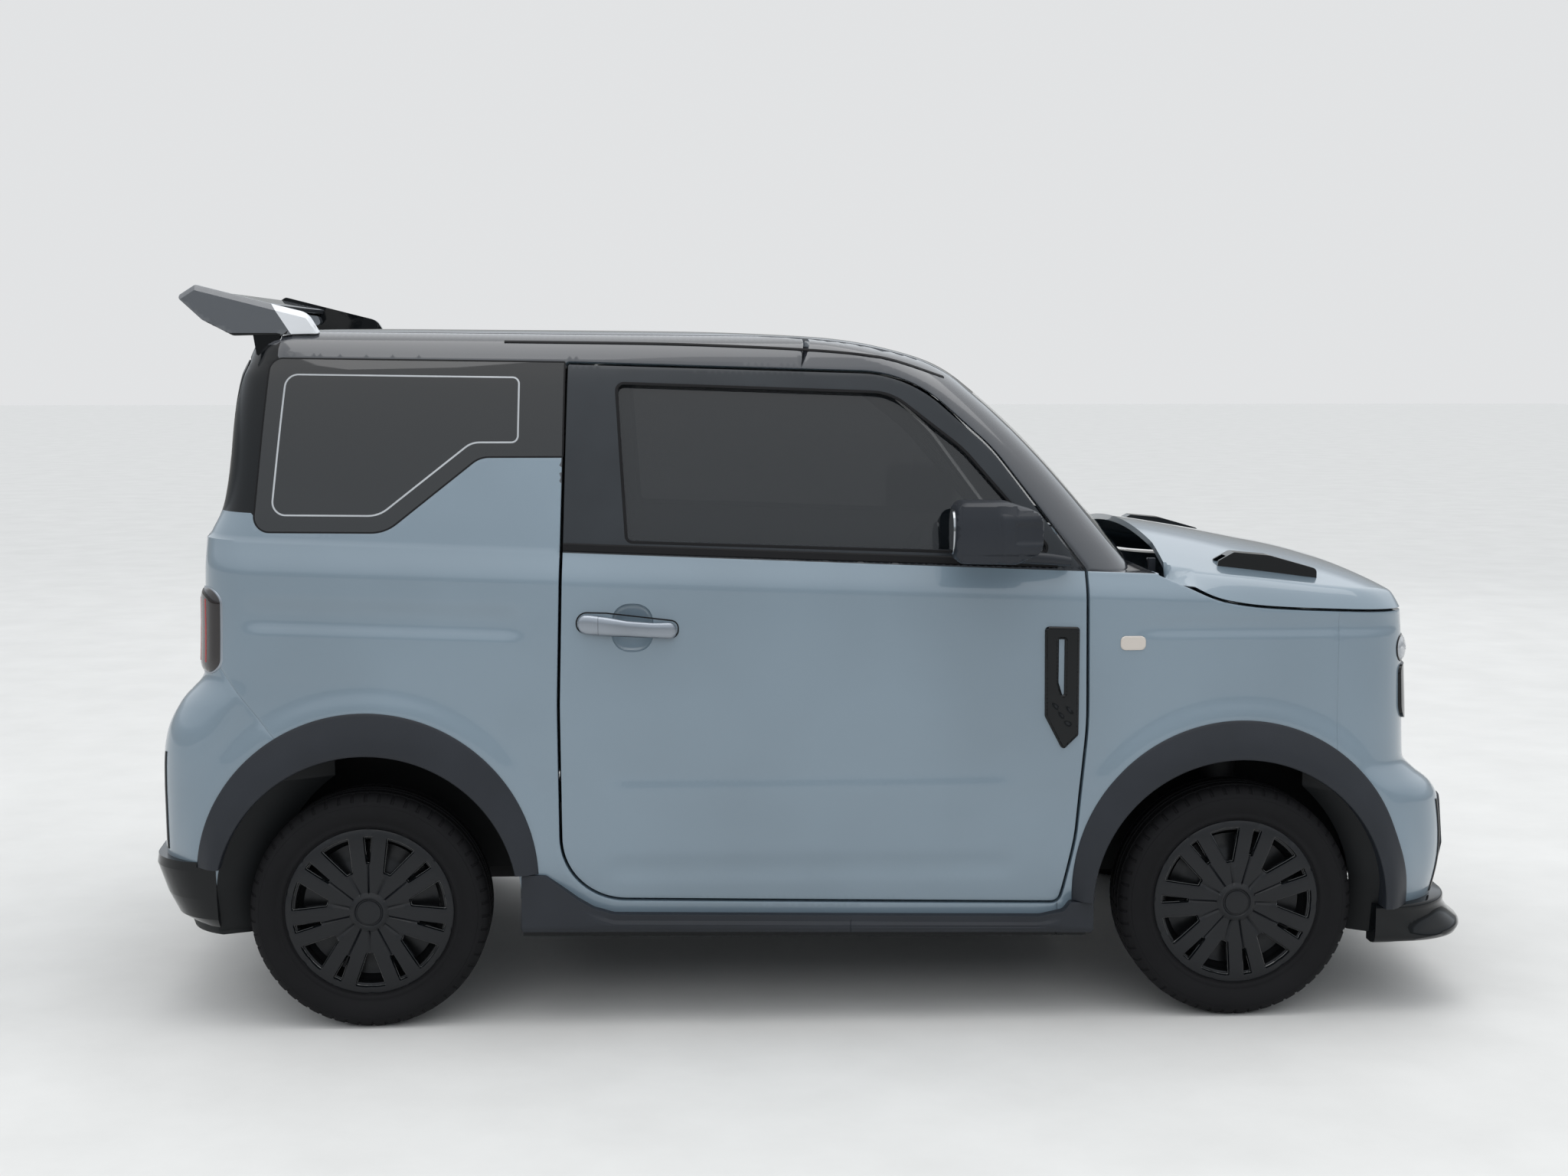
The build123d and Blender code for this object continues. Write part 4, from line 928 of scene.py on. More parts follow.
tinted_glass = glazed("tinted_glass", (0.006, 0.008, 0.010), 0.72)
privacy_glass = glazed("privacy_glass", (0.004, 0.005, 0.006), 0.95)
screen_glass = glazed("screen_glass", (0.06, 0.08, 0.08), 0.34)
lens_clear = glazed("lens_clear", (0.55, 0.57, 0.60), 0.55)
lens_dark = glazed("lens_dark", (0.010, 0.006, 0.006), 0.90)
lens_red = glazed("lens_red", (0.30, 0.010, 0.010), 0.94)
marker_pale = glazed("marker_pale", (0.58, 0.53, 0.48), 0.97)
print("finishes:", len(bpy.data.materials))

# %% [markdown]
# ## Pressed shapes in the skin
#
# The photograph shows a long scooped groove behind the door and another ahead of it, a stepped pad low on
# the door, a round cup behind the handle, and a soft swelling round each wheel arch. Each is a small depth
# added to the skin, written as a few smooth ramps.

# %% Relief
ARCH_RADIUS, FLARE_RADIUS = 343.0, 390.0
ARCHES = [(FRONT_X, HUB_Z, 318, 286, 286), (REAR_X, HUB_Z + 25, 350, 385, 364)]
HANDLE_X, HANDLE_Z, CUP_HALF = -431.0, 932.0, (48.5, 55.5)


def hump(value, rise0, rise1, fall0, fall1):
    return step(rise0, rise1, value) * (1 - step(fall0, fall1, value))


def relief(p):
    """How far the pressing lies inside the plain skin, at points on the flank."""
    x, y, z = p[:, 0], np.abs(p[:, 1]), p[:, 2]
    depth = np.zeros(len(x))
    slope = 0.034 * (x + 1000)
    groove = hump(z + slope, 912, 938, 958, 1002)
    rear_ends = hump(x, -1322, -1270, -722, -662)
    depth += 6.5 * groove * rear_ends
    front_groove = hump(z, 900, 918, 926, 962)
    depth += 4.0 * front_groove * step(700, 790, x) * (1 - step(1330, 1400, x))
    pad = (1 - step(600, 760, z)) * step(556, 586, z)
    depth += 5.0 * pad * hump(x, -540, -440, 400, 500)
    low = hump(z, 336, 364, 376, 412)
    depth += 4.5 * low * hump(x, -520, -440, 400, 480)
    across, up = np.abs(x - HANDLE_X) / CUP_HALF[0], np.abs(z - HANDLE_Z) / CUP_HALF[1]
    cup = (across**2.5 + up**2.5) ** 0.4
    depth += 20 * np.clip(1 - cup**2.6, 0, 1) ** 0.5 * (z < 1000)
    for arch_x, _, outer_z, _, _ in ARCHES:
        far = np.hypot(x - arch_x, z - outer_z)
        depth -= 7.0 * (1 - step(392, 452, far)) * step(280, 320, z)
    return np.where(z < 1040, depth, 0) * step(560, 680, y)


def cup_ring(size, count=72):
    """A ring of the handle's cup: a circle with fuller corners."""
    points = []
    for k in range(count):
        c, s = cos(2 * pi * k / count), sin(2 * pi * k / count)
        reach = size * (abs(c) ** 2.5 + abs(s) ** 2.5) ** -0.4
        points.append((HANDLE_X + CUP_HALF[0] * reach * c, HANDLE_Z + CUP_HALF[1] * reach * s))
    return points

# %% [markdown]
# ## Doors
#
# A whole door is a pressed shell with a stepped rim, so that it closes against a seal. The window frame is
# covered with satin black film down to the belt line, where a rubber strip wipes the glass.

# %% Door outlines
DOOR_FRONT_X, DOOR_REAR_X = FRONT_X - 359.5, REAR_X + 439.5
SHUT = 7.0
DOOR = [
    (DOOR_REAR_X + 20, 1530, 8),
    (FRONT_X - 769, 1506, 300),
    (FRONT_X - 574, 1332, 400),
    (DOOR_FRONT_X - 4, 1055, 12),
    (DOOR_FRONT_X, 700, 800),
    (DOOR_FRONT_X - 25, 440, 500),
    (DOOR_FRONT_X - 59, 278, 22),
    (DOOR_REAR_X + 3, 300, 150),
    (DOOR_REAR_X, 754, 800),
]
WINDOW = [
    (DOOR_REAR_X + 137, 1481, 14),
    (FRONT_X - 810, 1459, 130),
    (FRONT_X - 644, 1330, 300),
    (FRONT_X - 440, 1094, 12),
    (DOOR_REAR_X + 160, 1128, 12),
]
QUARTER_PANE = [
    (-216, 1541, 30), (456, 1532, 3), (452, 1317, 3), (264, 1317, 60), (50, 1147, 90), (-249, 1149, 35)
]
QUARTER_LIGHT = [
    (-178, 1504, 30), (352, 1497, 15), (350, 1350, 15), (245, 1350, 50), (36, 1185, 70), (-207, 1187, 30)
]
QUARTER_PANE, QUARTER_LIGHT = at_place(REAR_X, 0, QUARTER_PANE), at_place(REAR_X, 0, QUARTER_LIGHT)
TAILGATE = [
    (-606, 735, 50), (606, 735, 50), (606, 1100, 250), (560, 1541, 40), (-560, 1541, 40), (-606, 1100, 250)
]
TAILGATE_PANE = [(-536, 1154, 42), (536, 1154, 42), (498, 1498, 42), (-498, 1498, 42)]
WINDSCREEN = [(-640, 1066, 50), (640, 1066, 50), (532, 1498, 60), (-532, 1498, 60)]
BONNET_EDGE = [(-260, 1070), (-184, 1043), (-139, 1024), (-39, 984), (60, 970), (392, 955), (700, 933)]
BONNET_EDGE = at_place(FRONT_X, 0, BONNET_EDGE)
BONNET_LINE = smooth_curve([p[0] for p in BONNET_EDGE], [p[1] for p in BONNET_EDGE])
BUMPER_X = FRONT_X + 226
REAR_BUMPER = [(-700, 120, 0), (-203, 120, 0), (-203, 681, 4), (-335, 848, 4), (-700, 860, 0)]
REAR_BUMPER = at_place(REAR_X, 0, REAR_BUMPER)


def belt_z(x):
    return BELT - BELT_FALL * x


def wall_depth(q):
    """A panel's whole thickness: thinner over the belt."""
    return 75 - 33 * step(BELT - 14, BELT + 14, q[:, 1])


def half_wall(q):
    return wall_depth(q) / 2


DOOR_LOOP = trace(grown(DOOR, -SHUT / 2))
WINDOW_LOOP = trace(WINDOW)


def door_keep(q):
    p = skin("side", q[:, 0], q[:, 1])
    return inside(DOOR_LOOP, p[:, 0], p[:, 2]) & ~inside(WINDOW_LOOP, p[:, 0], p[:, 2])


def on_belt(x0, x1):
    return [(x, BELT) for x in np.arange(x0, x1, 20.0)]


def door_paint(p):
    return np.where(p[:, 2] > belt_z(p[:, 0]) + 0.2, 1, 0)


door_lines = [(on_side(DOOR_LOOP), True), (on_side(WINDOW_LOOP), True), (on_belt(-620, 640), False)]
door_lines += [(on_side(cup_ring(size)), True) for size in (1.0, 0.985, 0.955, 0.90, 0.80, 0.66, 0.48, 0.28)]
door_profile = [*FOLDED, (0.0, half_wall), (12.0, half_wall), (12.0, wall_depth)]
door_mesh = panel(
    "side", door_lines, door_keep, (-610, 622, 262, 1560), door_profile, 16, 8,
    rows=(1070, 1074, 1081, 1085), relief=relief, paint=door_paint, lining=lambda p: np.full(len(p), 2),
)
add_pair(
    "door_skin", door_mesh, [body_paint, film_black, cabin_lining], "door", "body_paint", 32, faced=False
)
print("door triangles:", len(door_mesh[1]))

# %% [markdown]
# ## Wings, rear quarters and bumpers
#
# These fixed panels share the door's skin, so highlights run across the shut lines without a break. The
# screen pillars and the roof rail are painted dark, and the rear pillar is gloss black.


# %% Fixed panels
# How far the panels stay off an arch's inner circle, and how far out their folded edges are dark.
ARCH_GAP, ARCH_DARK = 7.0, 16.0


def in_arch(x, z, grow=ARCH_GAP):
    hit = np.zeros(len(x), bool)
    for arch_x, inner_z, _, _, _ in ARCHES:
        radius = ARCH_RADIUS + grow
        hit |= (np.hypot(x - arch_x, z - inner_z) < radius) | ((np.abs(x - arch_x) < radius) & (z < inner_z))
    return hit


def arch_line(k, chart="side"):
    arch_x, inner_z = ARCHES[k][:2]
    radius = ARCH_RADIUS + ARCH_GAP
    low = (inner_z + 20, inner_z - 60, 190)
    arc = [(arch_x + radius * cos(t), inner_z + radius * sin(t)) for t in np.linspace(0, pi, 64)]
    points = [
        (arch_x + radius, z) for z in low[::-1] if z < inner_z
    ] + arc + [(arch_x - radius, z) for z in low if z < inner_z]
    return address(chart, "xz", points)


def shut_line(gap, x0, x1):
    return on_side([(x, float(BONNET_LINE(x)) + gap) for x in np.arange(x0, x1, 15.0)])


def upright(x, z0, z1, chart="side"):
    return address(chart, "xz", [(x, z) for z in np.arange(z0, z1, 12.0)])


DOOR_GAP = trace(grown(DOOR, SHUT / 2))
# Room round a fixed pane, where the sill meets the front wing, and the gloss black's height over the belt.
PANE_GAP, FOOT_X, GLOSS_RISE = 0.3, DOOR_FRONT_X - 62, 62
QUARTER_LOOP = trace(grown(QUARTER_PANE, PANE_GAP))
SCREEN_LOOP = trace(grown(WINDSCREEN, PANE_GAP))
GATE_LOOP = trace(grown(TAILGATE, SHUT / 2))
REAR_BUMPER_GAP = trace(grown(REAR_BUMPER, SEAM))
REAR_BUMPER_LOOP = trace(grown(REAR_BUMPER, -SEAM))
GATE_X = REAR_X - 230
SCREEN_X = FRONT_X - 760


def fender_keep(q):
    p = skin("side", q[:, 0], q[:, 1])
    x, z = p[:, 0], p[:, 2]
    keep = (x > FOOT_X) & (x < BUMPER_X - SEAM) & (z < BONNET_LINE(x) - SHUT / 2) & (q[:, 1] > FOOT)
    keep &= (q[:, 1] < BELT) | (x > NOSE_REAR_X)
    return keep & ~inside(DOOR_GAP, x, z) & ~in_arch(x, z)


fender_lines = [
    (on_side(DOOR_GAP), True),
    (arch_line(0), False),
    (shut_line(-SHUT / 2, 765, BUMPER_X + 10), False),
    (upright(BUMPER_X - SEAM, 500, 972), False),
    ([(x, BELT) for x in np.arange(540, 800, 15.0)], False),
    ([(x, FOOT) for x in np.arange(540, 660, 15.0)], False),
]


def hidden_low(p):
    """Which points lie close round a wheel or at the foot of the side."""
    return in_arch(p[:, 0], p[:, 2], ARCH_DARK) | (p[:, 2] < 215)


def arch_dark(number):
    """The rule that keeps the turned-in edges dark round the wheels."""

    def rule(p):
        return np.where(hidden_low(p), number, 0)

    return rule


def low_dark(height):
    return lambda p: np.where(p[:, 2] < height, 1, 0)


PANEL_EDGE = [*FOLDED, (0.0, half_wall), (0.0, wall_depth)]
fender_mesh = panel(
    "side", fender_lines, fender_keep, (550, 1215, 195, 1079), PANEL_EDGE, 13, 8,
    rows=(1006, 1010, 1016, 1020), relief=relief, paint=low_dark(234), hidden=arch_dark(1),
)
add_pair(
    "fender_skin", fender_mesh, [body_paint, black_plastic], "fender", "body_paint", 32, "body", faced=False
)


def side_keep(q):
    p = skin("side", q[:, 0], q[:, 1])
    x, y, z = p[:, 0], p[:, 1], p[:, 2]
    keep = (q[:, 1] > FOOT) & ~inside(DOOR_GAP, x, z) & ~in_arch(x, z) & (x < NOSE_REAR_X)
    keep &= ~((x > FOOT_X) & (q[:, 1] < BELT)) & ~((z > 1490) & (y > -520))
    keep &= ~((x < GATE_X) & inside(GATE_LOOP, y, z)) & ~inside(REAR_BUMPER_GAP, x, z)
    keep &= ~((x > SCREEN_X) & inside(SCREEN_LOOP, y, z))
    # A cell that straddles the belt ahead of the screen would reach across to the bonnet.
    keep &= ~((q[:, 0] > NOSE_REAR_X - 20) & (q[:, 1] < BELT + 14))
    return keep & ~inside(QUARTER_LOOP, x, z) & (y < -300)


def roof_edge_line():
    """The seam between the side and the roof, at the roof panel's half width."""
    level = np.full(90, 1588.0)
    a = np.linspace(-1500, 620, 90)
    for _ in range(24):
        y = skin("side", a, level)[:, 1]
        level = np.clip(level + np.clip((-520 - y) * -0.08, -6, 6), 1440, 1600)
    return np.stack([a, level], -1)


def half_loop(loop):
    """The right-hand part of an end-view loop, as an open line."""
    right = [p for p in loop if p[0] < -300]
    start = max(
        range(len(right)), key=lambda i: hypot(right[i][0] - right[i - 1][0], right[i][1] - right[i - 1][1])
    )
    return right[start:] + right[:start]


def end_address(points, front, chart="side"):
    """Addresses of an end-view line at the screen or at the tail."""
    u, z = np.array([p[0] for p in points]), np.array([p[1] for p in points])
    level = z.copy()
    for _ in range(8):
        contour = Contour(level, np.zeros_like(level))
        a = contour.from_y(np.abs(u), 1 if front else -1)
        level = z + np.where(level <= BELT, LOWER["fall"](level), UPPER["fall"](level)) * contour.point(a)[0]
    if chart != "side":
        start, length = contour.run(1 if front else -1)
        a = (length - np.abs(a - start)) * np.sign(u) * (1 if front else -1)
    return np.stack([a, level], -1)


ROOF_EDGE = roof_edge_line()
side_lines = [
    ([(NOSE_REAR_X, level) for level in np.arange(1062.0, 1130.0, 8.0)], False),
    (on_side(DOOR_GAP), True),
    (on_side(QUARTER_LOOP), True),
    (arch_line(1), False),
    (end_address(half_loop(SCREEN_LOOP), True), False),
    (end_address(half_loop(GATE_LOOP), False), False),
    ([tuple(q) for q in ROOF_EDGE], False),
    (on_side([p for p in REAR_BUMPER_GAP if p[0] > -1480 and p[1] > 190]), False),
    ([(a, BELT) for a in np.arange(-1700, 900, 15.0)], False),
    ([(x, FOOT) for x in np.arange(-720, 570, 15.0)], False),
    (upright(FOOT_X, 190, 290), False),
]


def side_paint(p):
    x, z = p[:, 0], p[:, 2]
    roof_line = 1527.5 - 0.011 * (x + 1256)
    high = (z > roof_line) | ((z > belt_z(x) + 0.3) & (x > DOOR_REAR_X + 8))
    slots = np.where(high, 1, 0)
    rear = (z > belt_z(x) + GLOSS_RISE) & (x < -1240)
    slots = np.where(rear & (z < 1572), 2, slots)
    return np.where(z < 234, 3, slots)


def side_lining(p):
    return np.where(hidden_low(p), 3, 4)


high_rows = (1072, 1075, 1081, 1084, 1570, 1574, 1577, 1580, 1583, 1586, 1589, 1591, 1593)
side_mesh = panel(
    "side", side_lines, side_keep, (-1800, 900, 195, 1600), PANEL_EDGE, 15, 9,
    rows=high_rows, relief=relief, paint=side_paint, hidden=arch_dark(3), lining=side_lining,
)
side_finishes = [body_paint, roof_paint, gloss_black, black_plastic, cabin_lining]
add_pair("side_skin", side_mesh, side_finishes, "side_frame", "body_paint", 32, "body", faced=False)
print("side triangles:", len(side_mesh[1]))


# %% Bumpers and tailgate
def both_sides(line):
    """An address line on an end map and its mirror image."""
    line = np.array(line)
    return [(line, False), (line * (-1, 1), False)]


def front_keep(q):
    p = skin("nose", q[:, 0], q[:, 1])
    x, z = p[:, 0], p[:, 2]
    return (x > BUMPER_X + SEAM) & (z < BONNET_LINE(x) - SHUT / 2) & (q[:, 1] > FOOT) & ~in_arch(x, z)


def nose_shut(gap):
    """The bonnet's shut line carried round the nose."""
    c = np.arange(-1240.0, 1241.0, 12.0)
    level = np.full_like(c, 985.0)
    for _ in range(8):
        p = skin("nose", c, level)
        level = level_at(p[:, 0], BONNET_LINE(p[:, 0]) + gap)
    return np.stack([c, level], -1)


front_lines = [
    (nose_shut(-SHUT / 2), False),
    *both_sides(arch_line(0, "nose")),
    *both_sides(upright(BUMPER_X + SEAM, 500, 972, "nose")),
    ([(c, FOOT) for c in np.arange(-1100, 1101, 18.0)], False),
]
front_mesh = panel(
    "nose", front_lines, front_keep, (-1150, 1150, 195, 1010), [*FOLDED, (0.0, 21), (0.0, 42)], 16, 9,
    relief=relief, paint=low_dark(250), hidden=arch_dark(1),
)
bumper_finishes = [body_paint, black_plastic]
add("front_bumper_skin", front_mesh, bumper_finishes, "body", "front_bumper", "body_paint", 32, faced=False)


def tail_bumper_keep(q):
    p = skin("tail", q[:, 0], q[:, 1])
    x, y, z = p[:, 0], p[:, 1], p[:, 2]
    return inside(REAR_BUMPER_LOOP, x, z) & ~inside(GATE_LOOP, y, z) & (q[:, 1] > FOOT) & ~in_arch(x, z)


def tail_address(loop):
    return address("tail", "yz", [(p[0], p[1]) for p in loop])


bumper_edge = [p for p in REAR_BUMPER_LOOP if p[0] > -1500 and p[1] > 190]
tail_lines = [
    (tail_address(GATE_LOOP), True),
    *both_sides(address("tail", "xz", bumper_edge)),
    *both_sides(arch_line(1, "tail")),
    ([(c, FOOT) for c in np.arange(-1000, 1001, 18.0)], False),
]
tail_mesh = panel(
    "tail", tail_lines, tail_bumper_keep, (-1150, 1150, 195, 900), [*FOLDED, (0.0, 37), (0.0, 75)], 16, 9,
    relief=relief, paint=low_dark(300), hidden=arch_dark(1),
)
add("rear_bumper_skin", tail_mesh, bumper_finishes, "body", "rear_bumper", "body_paint", 32, faced=False)

GATE_IN = trace(grown(TAILGATE, -SHUT / 2))
PANE_LOOP = trace(grown(TAILGATE_PANE, PANE_GAP))


def gate_keep(q):
    p = skin("tail", q[:, 0], q[:, 1])
    return inside(GATE_IN, p[:, 1], p[:, 2]) & ~inside(PANE_LOOP, p[:, 1], p[:, 2])


def gate_paint(p):
    return np.where(p[:, 2] > belt_z(p[:, 0]) + GLOSS_RISE, 1, 0)


gate_lines = [
    (tail_address(GATE_IN), True), (tail_address(PANE_LOOP), True),
    ([(c, BELT) for c in np.arange(-700, 701, 15.0)], False),
]
gate_mesh = panel(
    "tail", gate_lines, gate_keep, (-720, 720, 725, 1560), PANEL_EDGE, 16, 9,
    rows=(1072, 1075, 1081, 1084), paint=gate_paint,
)
add(
    "tailgate_skin", gate_mesh, [body_paint, gloss_black], "tailgate", "tailgate", "body_paint", 32,
    faced=False,
)

# %% [markdown]
# ## Roof and bonnet
#
# Both are drawn as heights over a plan. The roof closes the level outlines to a shallow crown.
# The bonnet's rows start on its shut line, climb over a soft shoulder and run to the middle.


# %% Roof
def end_x(y, z, front):
    """Where the skin lies at the screen or the tail, for points across the car."""
    a, level = end_address([(v, z) for v in y], front).T
    return skin("side", a, level)[:, 0]


ACROSS = np.linspace(0, 540, 40)
ROOF_FRONT = end_x(ACROSS, 1498.3, True)
ROOF_REAR = end_x(ACROSS, 1544.5, False)


def roof_keep(q):
    x, y = q[:, 0], np.abs(q[:, 1])
    return (y < ROOF_HALF) & (x < np.interp(y, ACROSS, ROOF_FRONT)) & (x > np.interp(y, ACROSS, ROOF_REAR))


def across_line(x_of):
    y = np.arange(-ROOF_HALF, ROOF_HALF + 0.1, ROOF_HALF / 40)
    return np.stack([np.interp(np.abs(y), ACROSS, x_of), y], -1)


roof_lines = [(across_line(ROOF_FRONT), False), (across_line(ROOF_REAR), False)]
roof_xs = np.arange(float(ROOF_REAR[-1]) - 20, float(ROOF_FRONT[-1]) + 20, 13.0)
roof_lines += [([(x, side * ROOF_HALF) for x in roof_xs], False) for side in (-1, 1)]
roof_mesh = panel(
    "roof", roof_lines, roof_keep, (-1345, 400, -520, 520), [*FOLDED, (0.0, 21), (0.0, 42)], 16, 14
)
add("roof_skin", roof_mesh, [roof_paint], "body", "roof_panel", "roof_paint", 32, faced=False)


# %% Bonnet
def crown(x, y):
    """Height of the bonnet between its shoulders."""
    edge_y, edge_z, top_z = SHOULDER_Y(x), SHOULDER_Z(x), CROWN_Z(x)
    return edge_z + (top_z - edge_z) * (1 - (np.minimum(np.abs(y), edge_y) / edge_y) ** 2)


REAR_EDGE_X = FRONT_X - 176
reach = sum(float(v) for v in Contour(SHOULDER, 0.0).run(1)) - REAR_EDGE_X


def shut_edge(c):
    """The bonnet's lower edge on the skin, at distances round the nose."""
    level = np.full_like(c, 990.0)
    for _ in range(12):
        p = skin("nose", c, level)
        level = np.minimum(level_at(p[:, 0], BONNET_LINE(p[:, 0]) + SHUT / 2), BELT - 1)
    return skin("nose", c, level)


BONNET_COUNT, BONNET_STEPS = 190, 44


def bonnet_rows():
    """Rows from the shut line up over the shoulder to the spine: close together first, then evenly spread."""
    steps = BONNET_STEPS
    edge = shut_edge(np.linspace(-reach, reach, BONNET_COUNT))
    spine_x = REAR_EDGE_X + 26 + (edge[:, 0] - REAR_EDGE_X) * 0.70
    near = np.array([0, 1.2, 3, 6, 10, 15, 21, 28, 36, 46, 58, 72])
    speed = np.hypot(3.2 * (spine_x - edge[:, 0]), edge[:, 1])
    rows = []
    for k in range(steps):
        if k < len(near):
            q = near[k] / speed
        else:
            q0 = near[-1] / speed
            q = q0 + (1 - q0) * (k - len(near) + 1) / (steps - len(near))
        share = 1 - (1 - np.minimum(q / 0.47, 1)) ** 1.5
        x = edge[:, 0] + (spine_x - edge[:, 0]) * share
        y = edge[:, 1] * (1 - q)
        far = np.hypot(x - edge[:, 0], y - edge[:, 1])
        soft = 46 - 18 * step(1330, 1395, edge[:, 0])
        t = np.minimum(far / soft, 1)
        z = edge[:, 2] + np.maximum(crown(x, y) - edge[:, 2], 0) * (1 - (1 - t) ** 1.7)
        rows.append(np.stack([x, y, z], -1))
    return drawn_in(np.array(rows))


def drawn_in(rows):
    """Draws the bonnet's rear end up to its own edge, so that it clears the screen as it opens."""
    x, y, z = rows[:, :, 0], rows[:, :, 1], rows[:, :, 2]
    order = np.argsort(np.abs(y[:, 0]))
    back = np.interp(np.abs(y), np.abs(y[:, 0])[order], x[:, 0][order])
    limit = REAR_EDGE_X + 1 + 26 * np.clip((760 - np.abs(y)) / 330, 0, 1)
    zone = 90.0
    share = np.clip((x - back) / (limit + zone - back), 0, 1)
    new_x = np.where(x < limit + zone, limit + zone * share, x)
    inner = np.clip((z - BONNET_LINE(x)) / np.maximum(crown(x, y) - BONNET_LINE(x), 5), 0, 1)
    lift = (1 - inner) * (BONNET_LINE(new_x) - BONNET_LINE(x)) + inner * (crown(new_x, y) - crown(x, y))
    return np.stack([new_x, y, z + lift], -1)


def sheet_faces(rows, columns, first=0, flip=False):
    faces = []
    for k in range(rows - 1):
        for i in range(columns - 1):
            a = first + k * columns + i
            quad = (a, a + 1, a + columns + 1, a + columns)
            faces.append(quad[::-1] if flip else quad)
    return faces


def bonnet_shape():
    outer = bonnet_rows()
    steps, count = outer.shape[:2]
    inner = outer.copy()
    inner[:, :, 2] -= 15
    for k in range(5):
        inner[k, :, :2] = outer[5, :, :2]
        inner[k, :, 2] = outer[k, :, 2] - 2 - 1.5 * k
    total = steps * count
    faces = sheet_faces(steps, count) + sheet_faces(steps, count, total, True)
    for i in range(count - 1):
        faces.append((i + 1, i, total + i, total + i + 1))
    for k in range(steps - 1):
        a, b = k * count, (k + 1) * count
        faces.append((a, b, total + b, total + a))
        faces.append((b + count - 1, a + count - 1, total + a + count - 1, total + b + count - 1))
    return np.concatenate([outer.reshape(-1, 3), inner.reshape(-1, 3)]), faces


add("bonnet_skin", bonnet_shape(), [body_paint], "bonnet", "bonnet", "body_paint", 40, faced=False)

# %% [markdown]
# ## Glass
#
# The side and rear panes are tinted dark and the screen is clear, with a black printed border. The rear side
# panes carry one thin pale line, printed parallel to their edge.


# %% Panes
GLASS_EDGE = [(0.6, 0.0), (0.0, 0.6), (0.0, 5.0)]


def plain_keep(chart, loop, plane):
    first, second = plane

    def rule(q):
        p = skin(chart, q[:, 0], q[:, 1])
        return inside(loop, p[:, first], p[:, second])

    return rule


def ring_paint(loop, plane):
    first, second = plane
    return lambda p: np.where(inside(loop, p[:, first], p[:, second]), 0, 1)


quarter_loop = trace(QUARTER_PANE)
quarter_lines = [(on_side(quarter_loop), True)]
quarter_keep = plain_keep("side", quarter_loop, (0, 2))
quarter_mesh = panel("side", quarter_lines, quarter_keep, (-1500, -560, 1080, 1580), GLASS_EDGE, 22, 14)
add_both("quarter_panes", quarter_mesh, [privacy_glass], "quarter_glasses", "dark_glass", faced=False)

window_out = trace(grown(WINDOW, 10))
window_address = on_side(window_out)


def sunk_panel(lines, keep, box, depths, da, dz):
    """A pane of even thickness between two depths under the side's skin."""
    points, faces = fill(lines, keep, box, da, dz)
    front, back = (skin("side", points[:, 0], points[:, 1], depth) for depth in depths)
    count = len(points)
    quads = [tuple(face) for face in faces] + [tuple(face[::-1] + count) for face in faces]
    for loop in rims(faces):
        for i, a in enumerate(loop):
            b = loop[(i + 1) % len(loop)]
            quads.append((b, a, a + count, b + count))
    return np.concatenate([front, back]), quads


window_keep = kept_in(window_address)
door_pane = sunk_panel([(window_address, True)], window_keep, (-620, 640, 1080, 1560), (14.0, 19.0), 22, 14)
add_pair("door_pane", door_pane, [tinted_glass], "door_glass", "dark_glass", 30, faced=False)

screen_loop = trace(WINDSCREEN)
screen_border = trace(grown(WINDSCREEN, -40))
screen_lines = [
    (end_address(screen_loop, True, "nose"), True), (end_address(screen_border, True, "nose"), True)
]
screen_keep = plain_keep("nose", screen_loop, (1, 2))
screen_mesh = panel(
    "nose", screen_lines, screen_keep, (-800, 800, 1082, 1520), GLASS_EDGE, 24, 14,
    paint=ring_paint(screen_border, (1, 2)),
)
add(
    "screen_pane", screen_mesh, [screen_glass, gloss_black], "body", "windscreen", "clear_glass", 30,
    faced=False,
)
gate_pane_loop = trace(TAILGATE_PANE)
gate_border = trace(grown(TAILGATE_PANE, -28))
gate_pane_lines = [
    (end_address(gate_pane_loop, False, "tail"), True), (end_address(gate_border, False, "tail"), True)
]
gate_pane_keep = plain_keep("tail", gate_pane_loop, (1, 2))
gate_pane_mesh = panel(
    "tail", gate_pane_lines, gate_pane_keep, (-620, 620, 1130, 1520), GLASS_EDGE, 24, 14,
    paint=ring_paint(gate_border, (1, 2)),
)
gate_finishes = [privacy_glass, gloss_black]
add(
    "tailgate_pane", gate_pane_mesh, gate_finishes, "tailgate", "tailgate_glass", "dark_glass", 30,
    faced=False,
)
print("panes done")

# %% [markdown]
# ## Pieces that keep their imported shape
#
# Frames, arms, liners and the like need only a finish and, most of them, a softened edge. All but the arch
# liners get a narrow bevel, so that no edge of theirs is perfectly sharp.


# %% Finishes for the imported pieces
def dressed(finish, *names, width):
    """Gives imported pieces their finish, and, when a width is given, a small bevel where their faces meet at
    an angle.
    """
    for name in names:
        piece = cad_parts[name]
        piece.data.materials.clear()
        piece.data.materials.append(finish.material)
        if width:
            bevel = piece.modifiers.new("edge", "BEVEL")
            bevel.width = width * 0.001
            bevel.segments = 2
            bevel.limit_method = "ANGLE"
            bevel.angle_limit = radians(32)


dressed(arch_plastic, "cowl_panel", "lower_grille", width=2.5)
dressed(black_plastic, "arch_liners_front", "arch_liners_rear", width=0)
dressed(gloss_black, "rear_skirt", "nose_band", "bonnet_scoops", width=2.5)
dressed(
    under_steel, "floor_pan", "bulkhead", "front_structure", "rear_axle", "knuckle_right", "knuckle_left",
    width=1.5,
)
dressed(black_plastic, "battery_pack", "drive_unit", width=3.0)

